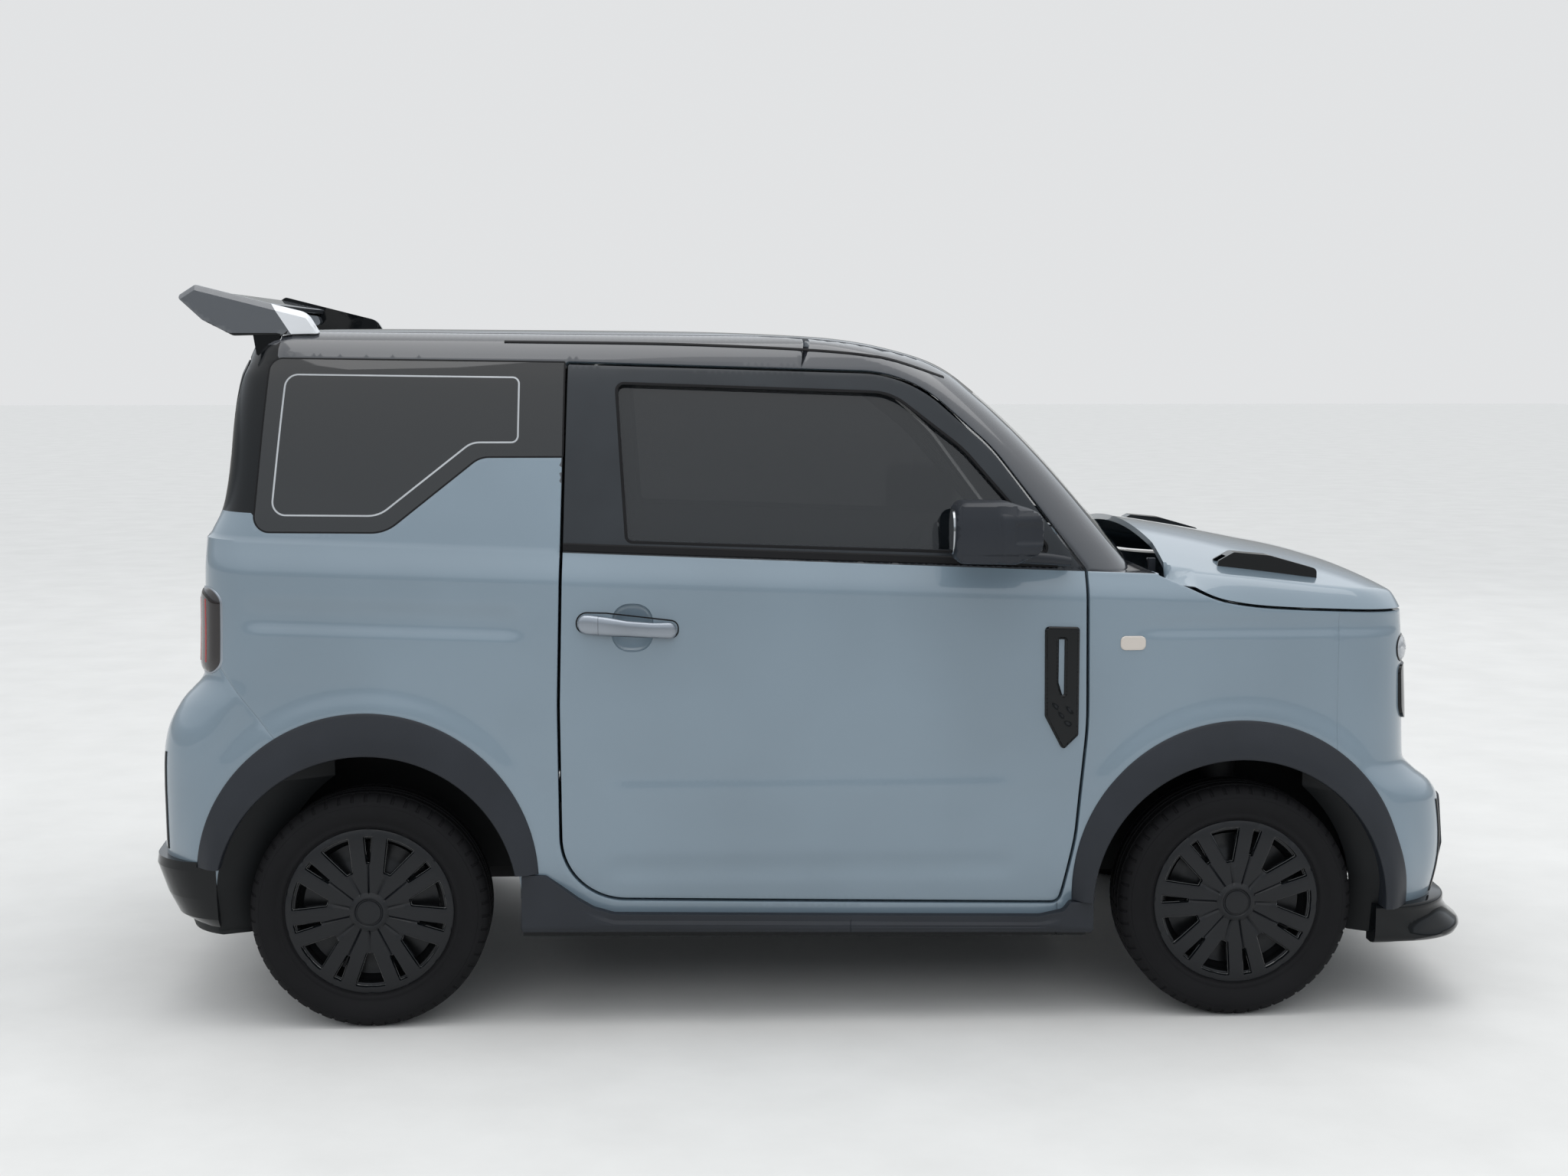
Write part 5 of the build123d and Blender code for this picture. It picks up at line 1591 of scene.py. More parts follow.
# %% [markdown]
# ## Arches, skirts and the small parts on the flank
#
# The plastic arches are one section carried round between two circles whose centres differ a little, so each
# grows wider towards its top. The skirts are a stepped band with a lit ledge. Handle, vent and marker are
# small panels on the same skin.


# %% Arch trims
def flank(x, z):
    """How far out the plain skin stands at a side-view point."""
    map_points = on_side([(x, z)])
    return -float(skin("side", map_points[:, 0], map_points[:, 1])[0, 1])


ARCH_STEPS = 96


def arch_trim(arch_x, inner_z, outer_z, rear_z, front_z, toe=0.0):
    """One arch's trim, from its front end over the top to its rear end. The toe reaches ahead at the foot."""
    starts = [asin((front_z - c) / r) for c, r in ((outer_z, FLARE_RADIUS), (inner_z, ARCH_RADIUS))]
    stops = [pi - asin((rear_z - c) / r) for c, r in ((outer_z, FLARE_RADIUS), (inner_z, ARCH_RADIUS))]
    section = [
        (0.0, 0.8), (0.0, -2.4), (0.02, -3.6), (0.07, -4.4), (0.25, -6.8), (0.5, -9.8), (0.75, -12.2),
        (0.90, -13.4),
    ]
    section += [
        (0.955, -13.0), (0.985, -11.4), (1.0, -8.0), (1.0, 20.0), (1.0, 52.0), (0.97, 54.0), (0.93, 52.0),
        (0.90, 20.0),
    ]
    rings = []
    for k in range(ARCH_STEPS + 1):
        t0, t1 = (a + (b - a) * k / ARCH_STEPS for a, b in zip(starts, stops))
        outer = (arch_x + FLARE_RADIUS * (cos(t0) if t0 > 0 else 1.0), outer_z + FLARE_RADIUS * sin(t0))
        outer = (outer[0] + toe * float(1 - step(front_z, front_z + 200, outer[1])) * (cos(t0) > 0), outer[1])
        inner = (arch_x + ARCH_RADIUS * (cos(t1) if t1 > 0 else 1.0), inner_z + ARCH_RADIUS * sin(t1))
        edge = flank(*outer) + 6.5
        ring = []
        for share, inset in section:
            x = outer[0] + (inner[0] - outer[0]) * share
            z = outer[1] + (inner[1] - outer[1]) * share
            face = edge + (756.5 - edge) * min(1.0, share * 1.6)
            ring.append((x, -min(face - inset, 769.5), z))
        rings.append(ring)
    size = len(section)
    verts = [p for ring in rings for p in ring]
    faces = []
    for k in range(ARCH_STEPS):
        for i in range(size):
            j = (i + 1) % size
            faces.append((k * size + i, (k + 1) * size + i, (k + 1) * size + j, k * size + j))
    faces += [list(range(size)), [ARCH_STEPS * size + i for i in range(size)][::-1]]
    return np.array(verts), faces


trim_rows = [(*ARCHES[0][:4], 262, 20.0), ARCHES[1]]
arch_pair = joined(*[arch_trim(*row) for row in trim_rows])
add_both("arch_trims", arch_pair, [arch_plastic], "wheel_arch_flares", "satin_plastic")

# %% Skirts
SKIRT_FRONT = FRONT_X - 340
SKIRT = [
    (REAR_X + 351, 363, 8),
    (REAR_X + 407, 360, 15),
    (REAR_X + 480, 303, 20),
    (REAR_X + 515, 281, 20),
    (REAR_X + 562, 266, 30),
    (SKIRT_FRONT - 122, 250, 60),
    (SKIRT_FRONT - 70, 262, 20),
    (SKIRT_FRONT - 54, 284, 8),
    (SKIRT_FRONT, 284, 3),
    (SKIRT_FRONT, 209, 6),
    (REAR_X + 349, 226, 6),
]
SKIRT_LOOP = trace(SKIRT, 8.0)
skirt_top = run_of(SKIRT[:9])
skirt_low = run_of([(REAR_X + 349, 226), (SKIRT_FRONT, 209)])


def skirt_chart(x, z, inset):
    drop, rise = skirt_top(x) - z, z - skirt_low(x)
    middle = hump(x, REAR_X + 470, REAR_X + 540, SKIRT_FRONT - 95, SKIRT_FRONT - 60)
    ledge = 5.0 * (1 - step(14, 22, drop)) * middle + 1.5 * (1 - step(24, 27, drop)) * middle
    under = 8.0 * (1 - step(0, 16, rise)) ** 2 + 2.0 * (1 - step(15, 19, rise)) * middle
    seam = 1.2 * (np.abs(x - 68) < 0.9)
    return x, -(751.6 - ledge - under - seam - inset), z


def skirt_lines():
    lines = [(SKIRT_LOOP, True)]
    xs = np.linspace(REAR_X + 470, SKIRT_FRONT - 62, 90)
    for drop in (2, 8, 14, 18, 22, 24, 27):
        lines.append(([(x, skirt_top(x) - drop) for x in xs], False))
    xs = np.linspace(REAR_X + 352, SKIRT_FRONT - 3, 100)
    for rise in (3, 6, 10, 15, 19):
        lines.append(([(x, skirt_low(x) + rise) for x in xs], False))
    lines += [([(x, z) for z in (214, 222, 230, 238, 244)], False) for x in (66.5, 67.5, 68.5, 69.5)]
    return lines


skirt_edge = [*FOLDED, (0.0, 26.0)]
skirts = panel(skirt_chart, skirt_lines(), kept_in(SKIRT_LOOP), (-700, 640, 200, 370), skirt_edge, 12, 8)
add_both("stepped_skirts", skirts, [arch_plastic], "side_skirts", "satin_plastic")


# %% Handles and vents
ROUNDNESS = 2.6


def superellipse(count, a, b):
    points = []
    for k in range(count):
        c, s = cos(2 * pi * k / count), sin(2 * pi * k / count)
        reach = (abs(c) ** ROUNDNESS + abs(s) ** ROUNDNESS) ** (-1 / ROUNDNESS)
        points.append((a * reach * c, b * reach * s))
    return points


def bar(stations, count=36):
    """A closed bar through stations of (x, z, half height, middle y, half depth)."""
    return tube([
        [(x, y + v, z + u) for u, v in superellipse(count, high, deep)] for x, z, high, y, deep in stations
    ])


SKIN_Y = 747.0


def handle_part(x0, x1, round0, round1):
    """A stretch of the handle, with an end that is round or cut square."""
    xs = list(np.linspace(x0, x1, 28))
    if round0:
        xs = [x0 + d for d in (0.0, 0.4, 1.2, 2.6, 5.0, 8.5)] + [x for x in xs if x > x0 + 12]
    if round1:
        xs = [x for x in xs if x < x1 - 12] + [x1 - d for d in (8.5, 5.0, 2.6, 1.2, 0.4, 0.0)]
    rows = []
    for x in xs:
        high = np.interp(
            x, [-554, -530, -490, -440, -380, -345, -331], [20, 22.5, 21.5, 17.5, 17.0, 18.8, 17.5]
        )
        out = np.interp(x, [-554, -520, -480, -440, -390, -345, -331], [10, 14, 24, 33, 31, 16, 10])
        thick = np.interp(x, [-554, -500, -440, -400, -331], [10, 12, 9, 9, 10])
        near = 1.0
        for on, gap in ((round0, x - x0), (round1, x1 - x)):
            if on and gap < 16:
                near = min(near, max(0.06, 1 - (1 - gap / 16) ** 2.4) ** (1 / 2.4))
        z = 942.5 - 0.075 * (x + 554)
        rows.append((x, z, high * near, -(SKIN_Y + out - thick * 0.5), max(1.0, thick * (0.5 + 0.5 * near))))
    return bar(rows)


VENT = [(-101, 722, 14), (-103, 930, 11), (-22, 928, 8), (-22, 677, 8), (-55, 645, 6), (-63, 650, 5)]
VENT_SLOT = [(-70, 800, 8), (-70, 900, 1.5), (-57, 900, 1.5), (-57, 772, 1.5), (-61, 771, 1)]
VENT, VENT_SLOT = at_place(DOOR_FRONT_X, 0, VENT), at_place(DOOR_FRONT_X, 0, VENT_SLOT)
VENT_LOOP, SLOT_LOOP = trace(VENT, 6.0), trace(VENT_SLOT, 5.0)


def vent_keep(q):
    p = skin("side", q[:, 0], q[:, 1])
    return inside(VENT_LOOP, p[:, 0], p[:, 2]) & ~inside(SLOT_LOOP, p[:, 0], p[:, 2])


def vent_relief(p):
    """A raised face, with a facet behind the slot and three small slanted dips below it."""
    x, z = p[:, 0], p[:, 2]
    depth = np.full(len(x), -6.6)
    for dx, dz, wide, high in ((-76, 752, 7, 15), (-62, 730, 6, 15), (-48, 712, 8, 12), (-44, 742, 5, 16)):
        u, v = x - (DOOR_FRONT_X + dx), z - dz
        along, across = 0.57 * u - 0.82 * v, 0.82 * u + 0.57 * v
        depth += 3.2 * np.clip(1 - np.hypot(along / high, across / wide) ** 2, 0, 1)
    return depth


vent_lines = [(on_side(VENT_LOOP), True), (on_side(SLOT_LOOP), True)]
vent_edge = [(6.0, 0.0), (5.2, 0.3), (0.8, 3.6), (0.2, 4.2), (0.0, 5.4), (0.0, 1.5)]
vent_box = (500, 600, 640, 960)
vent_shape = panel("side", vent_lines, vent_keep, vent_box, vent_edge, 4.5, 4.5, relief=vent_relief)
handle_shape = joined(handle_part(-554, -508.4, True, False), handle_part(-507.6, -331, False, True))
GASKET = [
    (-558, 923, 20), (-558, 968, 24), (-490, 966, 60), (-327, 947, 18), (-327, 908, 18), (-490, 915, 60)
]
gasket = ribbon("side", on_side(trace(GASKET, 6.0)), True, 3.0, 1.0, -1.2, 0.5)
door_trim = tinted((vent_shape, 0), (handle_shape, 1), (gasket, 2))
add_pair("door_trim", door_trim, [gloss_black, pale_metal, rubber], "door_fittings", "gloss_black", 40)

# %% Seals, belt strips, the printed line and the marker
belt_path = [(a, BELT + 13) for a in np.arange(-588, 560, 14.0)]
window_path = on_side(trace(grown(WINDOW, 3.2), 8.0))
door_strips = joined(
    ribbon("side", belt_path, False, 19, 1.0, -4.5, 2.5),
    ribbon("side", window_path, True, 6.4, 3.0, -0.9, 0.6),
)
add_pair("door_seals", door_strips, [rubber], None, "satin_plastic", 30)
printed = ribbon("side", on_side(trace(QUARTER_LIGHT, 8.0)), True, 4.0, 0.5, -0.25, 0.1)
add_both("printed_lines", printed, [printed_grey], None, "dark_glass")
DRIP = [(-725, 1578), (-397, 1574), (-68, 1562), (131, 1545), (309, 1493)]
drip_z = smooth_curve([p[0] for p in DRIP], [p[1] for p in DRIP])
drip_path = on_side([(x, float(drip_z(x))) for x in np.arange(-725, 300, 12.0)])
drip = ribbon("side", drip_path, False, 5.0, 1.0, -1.6, 0.6)
quarter_seal = ribbon("side", on_side(trace(QUARTER_PANE, 8.0)), True, 4.0, 1.0, -0.5, 0.4)
add_both("roof_strips", joined(drip, quarter_seal), [rubber], None, "satin_plastic")
MARKER = trace([(688, 873, 12), (747, 873, 12), (747, 906, 12), (688, 906, 12)], 4.0)
marker_loop = on_side(MARKER)
marker_edge = [(2.6, 0.0), (1.0, 0.8), (0.2, 2.0), (0.0, 2.6), (0.0, 1.0)]
marker = panel(
    "side", [(marker_loop, True)], kept_in(marker_loop), (680, 755, 880, 960), marker_edge, 5, 5,
    relief=lambda p: np.full(len(p), -3.4),
)
add_both("side_markers", marker, [marker_pale], None, "clear_lens")

# %% [markdown]
# ## Tyres
#
# A tyre is the same short sector moulded again and again round the wheel: five tread ribs, and small cuts
# that run over the shoulder. So one sector is drawn as a grid over the tyre's profile, with extra lines where a
# groove's walls stand, and Geometry Nodes turns it round the axle and merges the seams.


# %% A node tree that repeats a piece by turns
def repeat_tree():
    tree = bpy.data.node_groups.new("repeat_piece", "GeometryNodeTree")
    for label, kind in {
        "Geometry": "Geometry", "Count": "Int", "Turn": "Vector", "Finish": "Material"
    }.items():
        tree.interface.new_socket(label, in_out="INPUT", socket_type="NodeSocket" + kind)
    tree.interface.new_socket("Geometry", in_out="OUTPUT", socket_type="NodeSocketGeometry")

    def fresh(kind, **settings):
        node = tree.nodes.new(kind)
        for key, value in settings.items():
            setattr(node, key, value)
        return node

    given, result = fresh("NodeGroupInput"), fresh("NodeGroupOutput")
    line = fresh("GeometryNodeMeshLine", mode="OFFSET")
    line.inputs["Offset"].default_value = (0, 0, 0)
    index = fresh("GeometryNodeInputIndex")
    turn = fresh("ShaderNodeVectorMath", operation="SCALE")
    copies = fresh("GeometryNodeInstanceOnPoints")
    real = fresh("GeometryNodeRealizeInstances")
    merged = fresh("GeometryNodeMergeByDistance")
    merged.inputs["Distance"].default_value = MERGE
    dress = fresh("GeometryNodeSetMaterial")
    joins = [
        (given.outputs["Count"], line.inputs["Count"]),
        (given.outputs["Turn"], turn.inputs[0]),
        (index.outputs[0], turn.inputs["Scale"]),
        (line.outputs[0], copies.inputs["Points"]),
        (given.outputs["Geometry"], copies.inputs["Instance"]),
        (turn.outputs[0], copies.inputs["Rotation"]),
        (copies.outputs[0], real.inputs[0]),
        (real.outputs[0], merged.inputs["Geometry"]),
        (merged.outputs[0], dress.inputs["Geometry"]),
        (given.outputs["Finish"], dress.inputs["Material"]),
        (dress.outputs[0], result.inputs[0]),
    ]
    for source, target in joins:
        tree.links.new(source, target)
    return tree


REPEAT = repeat_tree()


def repeated(piece, count, finish, turn):
    """The piece's mesh repeated by the tree, as a plain mesh. The piece is used up."""
    modifier = piece.modifiers.new("repeat", "NODES")
    modifier.node_group = REPEAT
    values = {"Count": count, "Turn": turn, "Finish": finish.material}
    for item in REPEAT.interface.items_tree:
        if item.in_out == "INPUT" and item.name in values:
            modifier[item.identifier] = values[item.name]
    graph = bpy.context.evaluated_depsgraph_get()
    mesh = bpy.data.meshes.new_from_object(piece.evaluated_get(graph), depsgraph=graph)
    bpy.data.objects.remove(piece)
    return mesh


# %% One sector of a tyre, and the whole tyre
SECTORS = 54
TYRE_MID_Y = 659.5
TYRE_SIDE = [
    (178, 58), (183, 62), (190, 64), (197, 66.2), (199, 69.6), (202, 71.8), (206, 72.6), (209, 72.2),
    (211, 72.4), (216, 75.4),
]
TYRE_SIDE += [
    (222, 78.2), (229, 80.4), (236, 81.6), (243, 81.9), (249, 81.2), (250, 80.2), (251, 80.4), (255, 78.8)
]
TYRE_EDGE = [
    (258.5, 77), (260, 75.8), (265, 72), (269, 67), (271.8, 61.5), (273.4, 55.5), (274.2, 50.5), (274.5, 47.5)
]
TREAD = [
    (274.5, 47.2), (268.5, 45.6), (268.5, 40.4), (274.8, 38.8), (275, 24), (275, 16.6), (268.5, 15),
    (268.5, 7), (275, 5.4), (275, 0),
]
ROWS = [0.0, 0.36, 0.42, 0.56, 0.62]


def cut_depth(y, along):
    """Depth of the moulded cuts: shoulder cuts, and fine cuts over the ribs that lean the other way."""
    wide = np.abs(y)
    cut = (along > 0.40) & (along < 0.60)
    shoulder = cut & (wide > 49) & (wide < 76.5)
    rib = cut & (wide > 18) & (wide < 38)
    middle = cut & (wide < 4)
    return np.where(shoulder, 2.6, 0.0) + np.where(rib, 3.5, 0.0) + np.where(middle, 2.5, 0.0)


half_profile = TYRE_SIDE + TYRE_EDGE + TREAD
profile_line = half_profile + [(r, -y) for r, y in reversed(half_profile[:-1])]
profile_line += [(178, -40), (172, -20), (172, 20), (178, 40)]
section = np.array(profile_line, float)
ahead = np.roll(section, -1, axis=0) - np.roll(section, 1, axis=0)
outward = np.stack([-ahead[:, 1], ahead[:, 0]], -1)
outward /= np.linalg.norm(outward, axis=1)[:, None]
outward *= np.sign(outward[:, 0] * (section[:, 0] - 225) + outward[:, 1] * section[:, 1])[:, None]
sector_verts, sector_faces = [], []
columns = len(section)
for row in ROWS + [1.0]:
    lean = 0.10 * np.clip((section[:, 1]) / 60, -1, 1) * (section[:, 0] > 256)
    angle = 2 * pi / SECTORS * (row + lean)
    depth = cut_depth(section[:, 1], np.full(columns, row if row < 1 else 0.0)) * (section[:, 0] > 257)
    r = section[:, 0] - depth * outward[:, 0]
    w = section[:, 1] - depth * outward[:, 1]
    sector_verts.append(np.stack([r * np.cos(angle), w, r * np.sin(angle)], -1))
for k in range(len(ROWS)):
    for i in range(columns):
        j = (i + 1) % columns
        sector_faces.append((k * columns + i, k * columns + j, (k + 1) * columns + j, (k + 1) * columns + i))
sector = new_piece("tyre_sector", np.concatenate(sector_verts), sector_faces, [tyre_rubber])
tyre_mesh = repeated(sector, SECTORS, tyre_rubber, (0, -2 * pi / SECTORS, 0))
print("tyre faces:", len(tyre_mesh.polygons))

# %% [markdown]
# ## Wheels and their covers
#
# The cover is a moulded disc: fourteen flat satin spokes in pairs, a narrow slot inside each pair and a wide
# window between two pairs. The windows' walls are glossy and slope inwards, with a small step half way down.
# The disc is cut on its own flat map, and its height over the map is a smooth function of the radius.

# %% The cover's map
PAIRS = 7
COVER_R = [0, 22, 27, 28.5, 30.5, 33, 36.5, 41, 46, 54, 100, 150, 172, 184, 190, 193.5]
COVER_W = [79, 78.4, 77.6, 75.4, 75.4, 78.4, 79.0, 77.0, 74.0, 73.6, 75.0, 74.4, 73.0, 71.2, 69.8, 68.2]
# The shallow valleys that lead to the slots and windows: offset in pairs, end radius, spread and half width.
VALLEYS = [(0.0, 108, 0.02, 1.6), (0.5, 88, 0.05, 1.8)]


def cover_height(u, v):
    r = np.hypot(u, v)
    angle = np.arctan2(v, u) - pi / 2
    part = angle / (2 * pi / PAIRS)
    valley = 0.0
    for offset, _, spread, floor in VALLEYS:
        near = np.abs(part - offset - np.round(part - offset)) * 2 * pi / PAIRS * r
        valley = valley + 3.0 * np.clip(1 - near / (spread * r + floor), 0, 1)
    return np.interp(r, COVER_R, COVER_W) - valley * (r > 45)


def cover_chart(u, v, inset):
    return u, inset - cover_height(u, v), v


def turned_points(points, angle):
    c, s = cos(angle), sin(angle)
    return [(c * u - s * v, s * u + c * v, *rest) for u, v, *rest in points]


WIDE = [
    (8.5, 96, 5), (36, 174, 4), (24.5, 176.3, 60), (12.4, 177.6, 60), (0, 178, 60), (-12.4, 177.6, 60),
    (-24.5, 176.3, 60), (-36, 174, 4), (-8.5, 96, 5),
]
NARROW = [(4.6, 113, 3), (10.5, 177, 3), (-10.5, 177, 3), (-4.6, 113, 3)]
cover_holes, cover_lines = [], [(ring_of(COVER_R[-1], 160), True)]
full = 2 * pi / PAIRS
for k in range(PAIRS):
    for shape, turn in ((NARROW, k * full), (WIDE, (k + 0.5) * full)):
        hole = trace(turned_points(shape, turn), 5.0)
        cover_holes.append(hole)
        cover_lines.append((hole, True))
    for (offset, limit, spread, floor), reach in zip(VALLEYS, (111, 94)):
        for side in (-1, 0, 1):
            wing = [
                (side * (spread * r + floor), r) for r in np.linspace(46, reach, 10) if not side or r < limit
            ]
            cover_lines.append((turned_points(wing, (k + offset) * full), False))
cover_lines += [(ring_of(r, 96), True) for r in COVER_R[1:9]]
cover_lines += [(ring_of(r, 128), True) for r in COVER_R[-3:-1]]


def cover_keep(q):
    keep = np.hypot(q[:, 0], q[:, 1]) < COVER_R[-1] - 0.01
    for hole in cover_holes:
        keep &= ~inside(hole, q[:, 0], q[:, 1])
    return keep


def cover_floor(place):
    return np.where(np.hypot(place[:, 0], place[:, 1]) > 185, 3.0, 15.0)


COVER_EDGE = [(1.3, 0.0), (0.35, 0.4), (0.0, 1.3), (-1.6, 6.5), (-2.4, 6.9), (-3.2, 8.0), (-3.9, cover_floor)]
cover_shape = panel(
    cover_chart, cover_lines, cover_keep, (-194, 194, -194, 194), COVER_EDGE, 8.0, 8.0,
    hidden=lambda p: np.ones(len(p), int),
)
print("cover faces:", len(cover_shape[1]))


# %% The steel wheel behind the cover
def lathe(section, count=72):
    """A closed section of (radius, outward) points turned round the axle."""
    section = np.array(section, float)
    verts, faces, size = [], [], len(section)
    for k in range(count):
        a = 2 * pi * k / count
        verts.append(np.stack([section[:, 0] * cos(a), section[:, 1], section[:, 0] * sin(a)], -1))
        for i in range(size):
            j, n = (i + 1) % size, (k + 1) % count
            faces.append((k * size + i, k * size + j, n * size + j, n * size + i))
    return np.concatenate(verts), faces


BARREL = [
    (171, -60), (176, -62), (177.2, -60), (177.2, -30), (172, -24), (163.5, -20), (163.5, 20), (172, 24),
    (177.2, 30),
]
BARREL += [
    (177.2, 60), (176, 62.5), (171, 61), (169.5, 36), (166, 30), (156.5, 22), (156.5, -22), (166, -27),
    (170, -32),
]
DISH = [
    (16, 36), (46, 37), (70, 42), (92, 40), (118, 28), (140, 26), (156.6, 30), (156.6, 25), (140, 20),
    (116, 22), (90, 34), (70, 36), (46, 31), (16, 30),
]
HUB = [(3, 31), (30, 31), (38, 36), (38, 60), (34, 64), (3, 64)]
steel_shape = joined(lathe(BARREL), lathe(DISH), lathe(HUB, 36))

# %% The four wheels in their places
wheel_finishes = [wheel_black, wheel_gloss, rim_steel]
for end, axle_x, spin in (("front", FRONT_X, radians(-15.5)), ("rear", REAR_X, 0.0)):
    for side_name, side in (("right", -1), ("left", 1)):
        place = Vector((axle_x * 0.001, side * TYRE_MID_Y * 0.001, HUB_Z * 0.001))
        body = f"wheel_{end}_{side_name}"
        tyre = bpy.data.objects.new(f"tread_tyre_{end}_{side_name}", tyre_mesh.copy())
        tyre.data.transform(Matrix.Translation(place) @ Matrix.Diagonal((1, side, 1, 1)))
        scene.collection.objects.link(tyre)
        settle(tyre, body, f"tyre_{end}_{side_name}", "tyre", 38)
        turn = Matrix.Rotation(-spin, 3, "Y")
        cover = (np.array([turn @ Vector(p) for p in cover_shape[0]]), *cover_shape[1:])
        if side > 0:
            cover = mirrored(*cover)
        steel = (steel_shape[0] * np.array([1, side, 1]), steel_shape[1])
        verts, faces, slots = tinted((cover, cover[2]), (steel, 2))
        verts = verts + np.array([axle_x, side * TYRE_MID_Y, HUB_Z])
        add(f"covered_{body}", (verts, faces, slots), wheel_finishes, body, body, "wheel_black", 24)

# %% [markdown]
# ## Nose, tail, mirrors and wing
#
# These pieces give the car its ends. The lip is one section carried round the nose, with its tip thrown
# forwards at the front. Lamps are bulged panels on the same skin as the bumpers. The mirror is a soft-edged
# block with a raised pad on its front half, and the wing is two plates with a bevelled top edge.


# %% Front lip
def nose_path(level, x0):
    """Plan points from the arch round the corner to the centre line, with their outward normals."""
    contour = Contour(np.array([level]), np.zeros(1))
    start, length = float(contour.run(1)[0][0]), float(contour.run(1)[1][0])
    a = np.concatenate([np.linspace(x0, start, 14)[:-1], np.linspace(start, start + length, 70)])
    p = skin("side", a, np.full_like(a, level))[:, :2]
    ahead = np.gradient(p, axis=0)
    ahead /= np.linalg.norm(ahead, axis=1)[:, None]
    return p, np.stack([ahead[:, 1], -ahead[:, 0]], -1)


SIDE_LIP = [
    (-40, 262), (0, 262), (2.6, 260.5), (4, 257), (4, 251), (3, 248), (4, 240), (4, 205), (3, 190), (-2, 178),
    (-10, 171), (-28, 167), (-60, 167), (-60, 200),
]
TIP_LIP = [
    (-40, 264), (6, 264), (10, 262), (12, 258), (12, 250), (11, 246), (14, 236), (26, 219), (44, 205),
    (49.5, 198), (50.5, 191), (44, 178), (10, 163), (-60, 163),
]
plan, normal = nose_path(400.0, FRONT_X + 331)
rings = []
for (x, y), (nx, ny) in zip(plan, normal):
    share = float(step(1330, 1490, x))
    scoop = float(hump(share, 0.1, 0.5, 0.75, 1.0)) * 7
    ring = []
    for i, ((o0, z0), (o1, z1)) in enumerate(zip(SIDE_LIP, TIP_LIP)):
        out, z = o0 + (o1 - o0) * share, z0 + (z1 - z0) * share
        out -= scoop if i in (7, 8) else 0.4 * scoop if i in (6, 9) else 0
        ring.append((x + nx * out, y + ny * out, z))
    rings.append(ring)
rings += [[(x, -y, z) for x, y, z in ring] for ring in rings[-2::-1]]
add("front_lip_skin", tube(rings), [gloss_black], "body", "front_lip", "gloss_black", 42)


# %% Lamps
LENS_HEIGHT, LENS_FADE = 10.0, 26.0
LENS_EDGE = [(0.6, 0.0), (0.0, 0.6), (0.0, 8.0)]


def bulged(chart, loop):
    """A chart that stands proud of the skin by a height that fades towards an outline."""
    edge = np.array(loop)

    def at(a, level, inset):
        a, level = np.asarray(a, float), np.asarray(level, float)
        gap = np.full(len(a), 1e9)
        for p, q in zip(edge, np.roll(edge, -1, axis=0)):
            run = q - p
            t = np.clip(((a - p[0]) * run[0] + (level - p[1]) * run[1]) / max(run @ run, 1e-9), 0, 1)
            gap = np.minimum(gap, np.hypot(a - p[0] - t * run[0], level - p[1] - t * run[1]))
        rise = LENS_HEIGHT * np.sqrt(np.clip(1 - (1 - np.clip(gap / LENS_FADE, 0, 1)) ** 2, 0, 1))
        return skin(chart, a, level, inset - rise).T

    return at


def lamp(name, chart, outline, finishes, node, slot, inner):
    """Right and left lamps: a bulged lens in a dark rim, with lit figures just inside it."""
    parts = []
    for sign in (1, -1):
        loop = address(chart, "yz", trace([(u * sign, z, r) for u, z, r in outline], 5.0))
        lens = panel(bulged(chart, loop), [(loop, True)], kept_in(loop), around(loop), LENS_EDGE, 6, 6)[:2]
        if chart == "nose":
            lens = (lens[0], [list(face)[::-1] for face in lens[1]])
        parts += [(lens, 0), (ribbon(chart, loop, True, 5.0, 1.0, -2.0, 0.8), 1)]
        for u0, z0, u1, z1, wide in inner:
            line = [(sign * (u0 + (u1 - u0) * k / 12), z0 + (z1 - z0) * k / 12) for k in range(13)]
            where = address(chart, "yz", line)
            parts.append((ribbon(chart, where, False, wide, 2.0 - LENS_HEIGHT, -LENS_HEIGHT - 0.5, 0.4), 2))
    add(name, tinted(*parts), finishes, "body", node, slot, 40)


lamp_silver = moulded("lamp_silver", (0.50, 0.52, 0.55), 0.22, 200.0, 0.03, Metallic=0.7)
HEAD_LAMP = [(400, 832, 26), (672, 832, 26), (672, 890, 26), (400, 890, 26)]
TAIL_LAMP = [(-708, 826, 34), (-611, 826, 34), (-611, 1020, 34), (-708, 1020, 34)]
head_finishes, tail_finishes = [lens_clear, gloss_black, lamp_silver], [lens_dark, pale_metal, lens_red]
head_bars, tail_bars = [(430, 861, 640, 861, 9)], [(-640, 850, -640, 996, 10), (-680, 850, -680, 996, 8)]
lamp("head_lamps", "nose", HEAD_LAMP, head_finishes, "headlamps", "clear_lens", head_bars)
lamp("rear_lamps", "tail", TAIL_LAMP, tail_finishes, "tail_lamps", "dark_lens", tail_bars)

# %% Door mirrors
MIRROR_X0, MIRROR_X1 = DOOR_FRONT_X - 327, DOOR_FRONT_X - 124
MIRROR = [(0, 1084, 26), (4, 1222, 26), (120, 1222, 60), (203, 1196, 34), (199, 1110, 40), (143, 1082, 20)]
MIRROR = at_place(MIRROR_X0, 0, MIRROR)
MIRROR_LOOP = trace(MIRROR, 6.0)


def soft_box(u, v, u0, u1, v0, v1, edge):
    """One inside a box and nothing outside it, with a soft edge."""
    return hump(u, u0 - edge, u0, u1, u1 + edge) * hump(v, v0 - edge, v0, v1, v1 + edge)


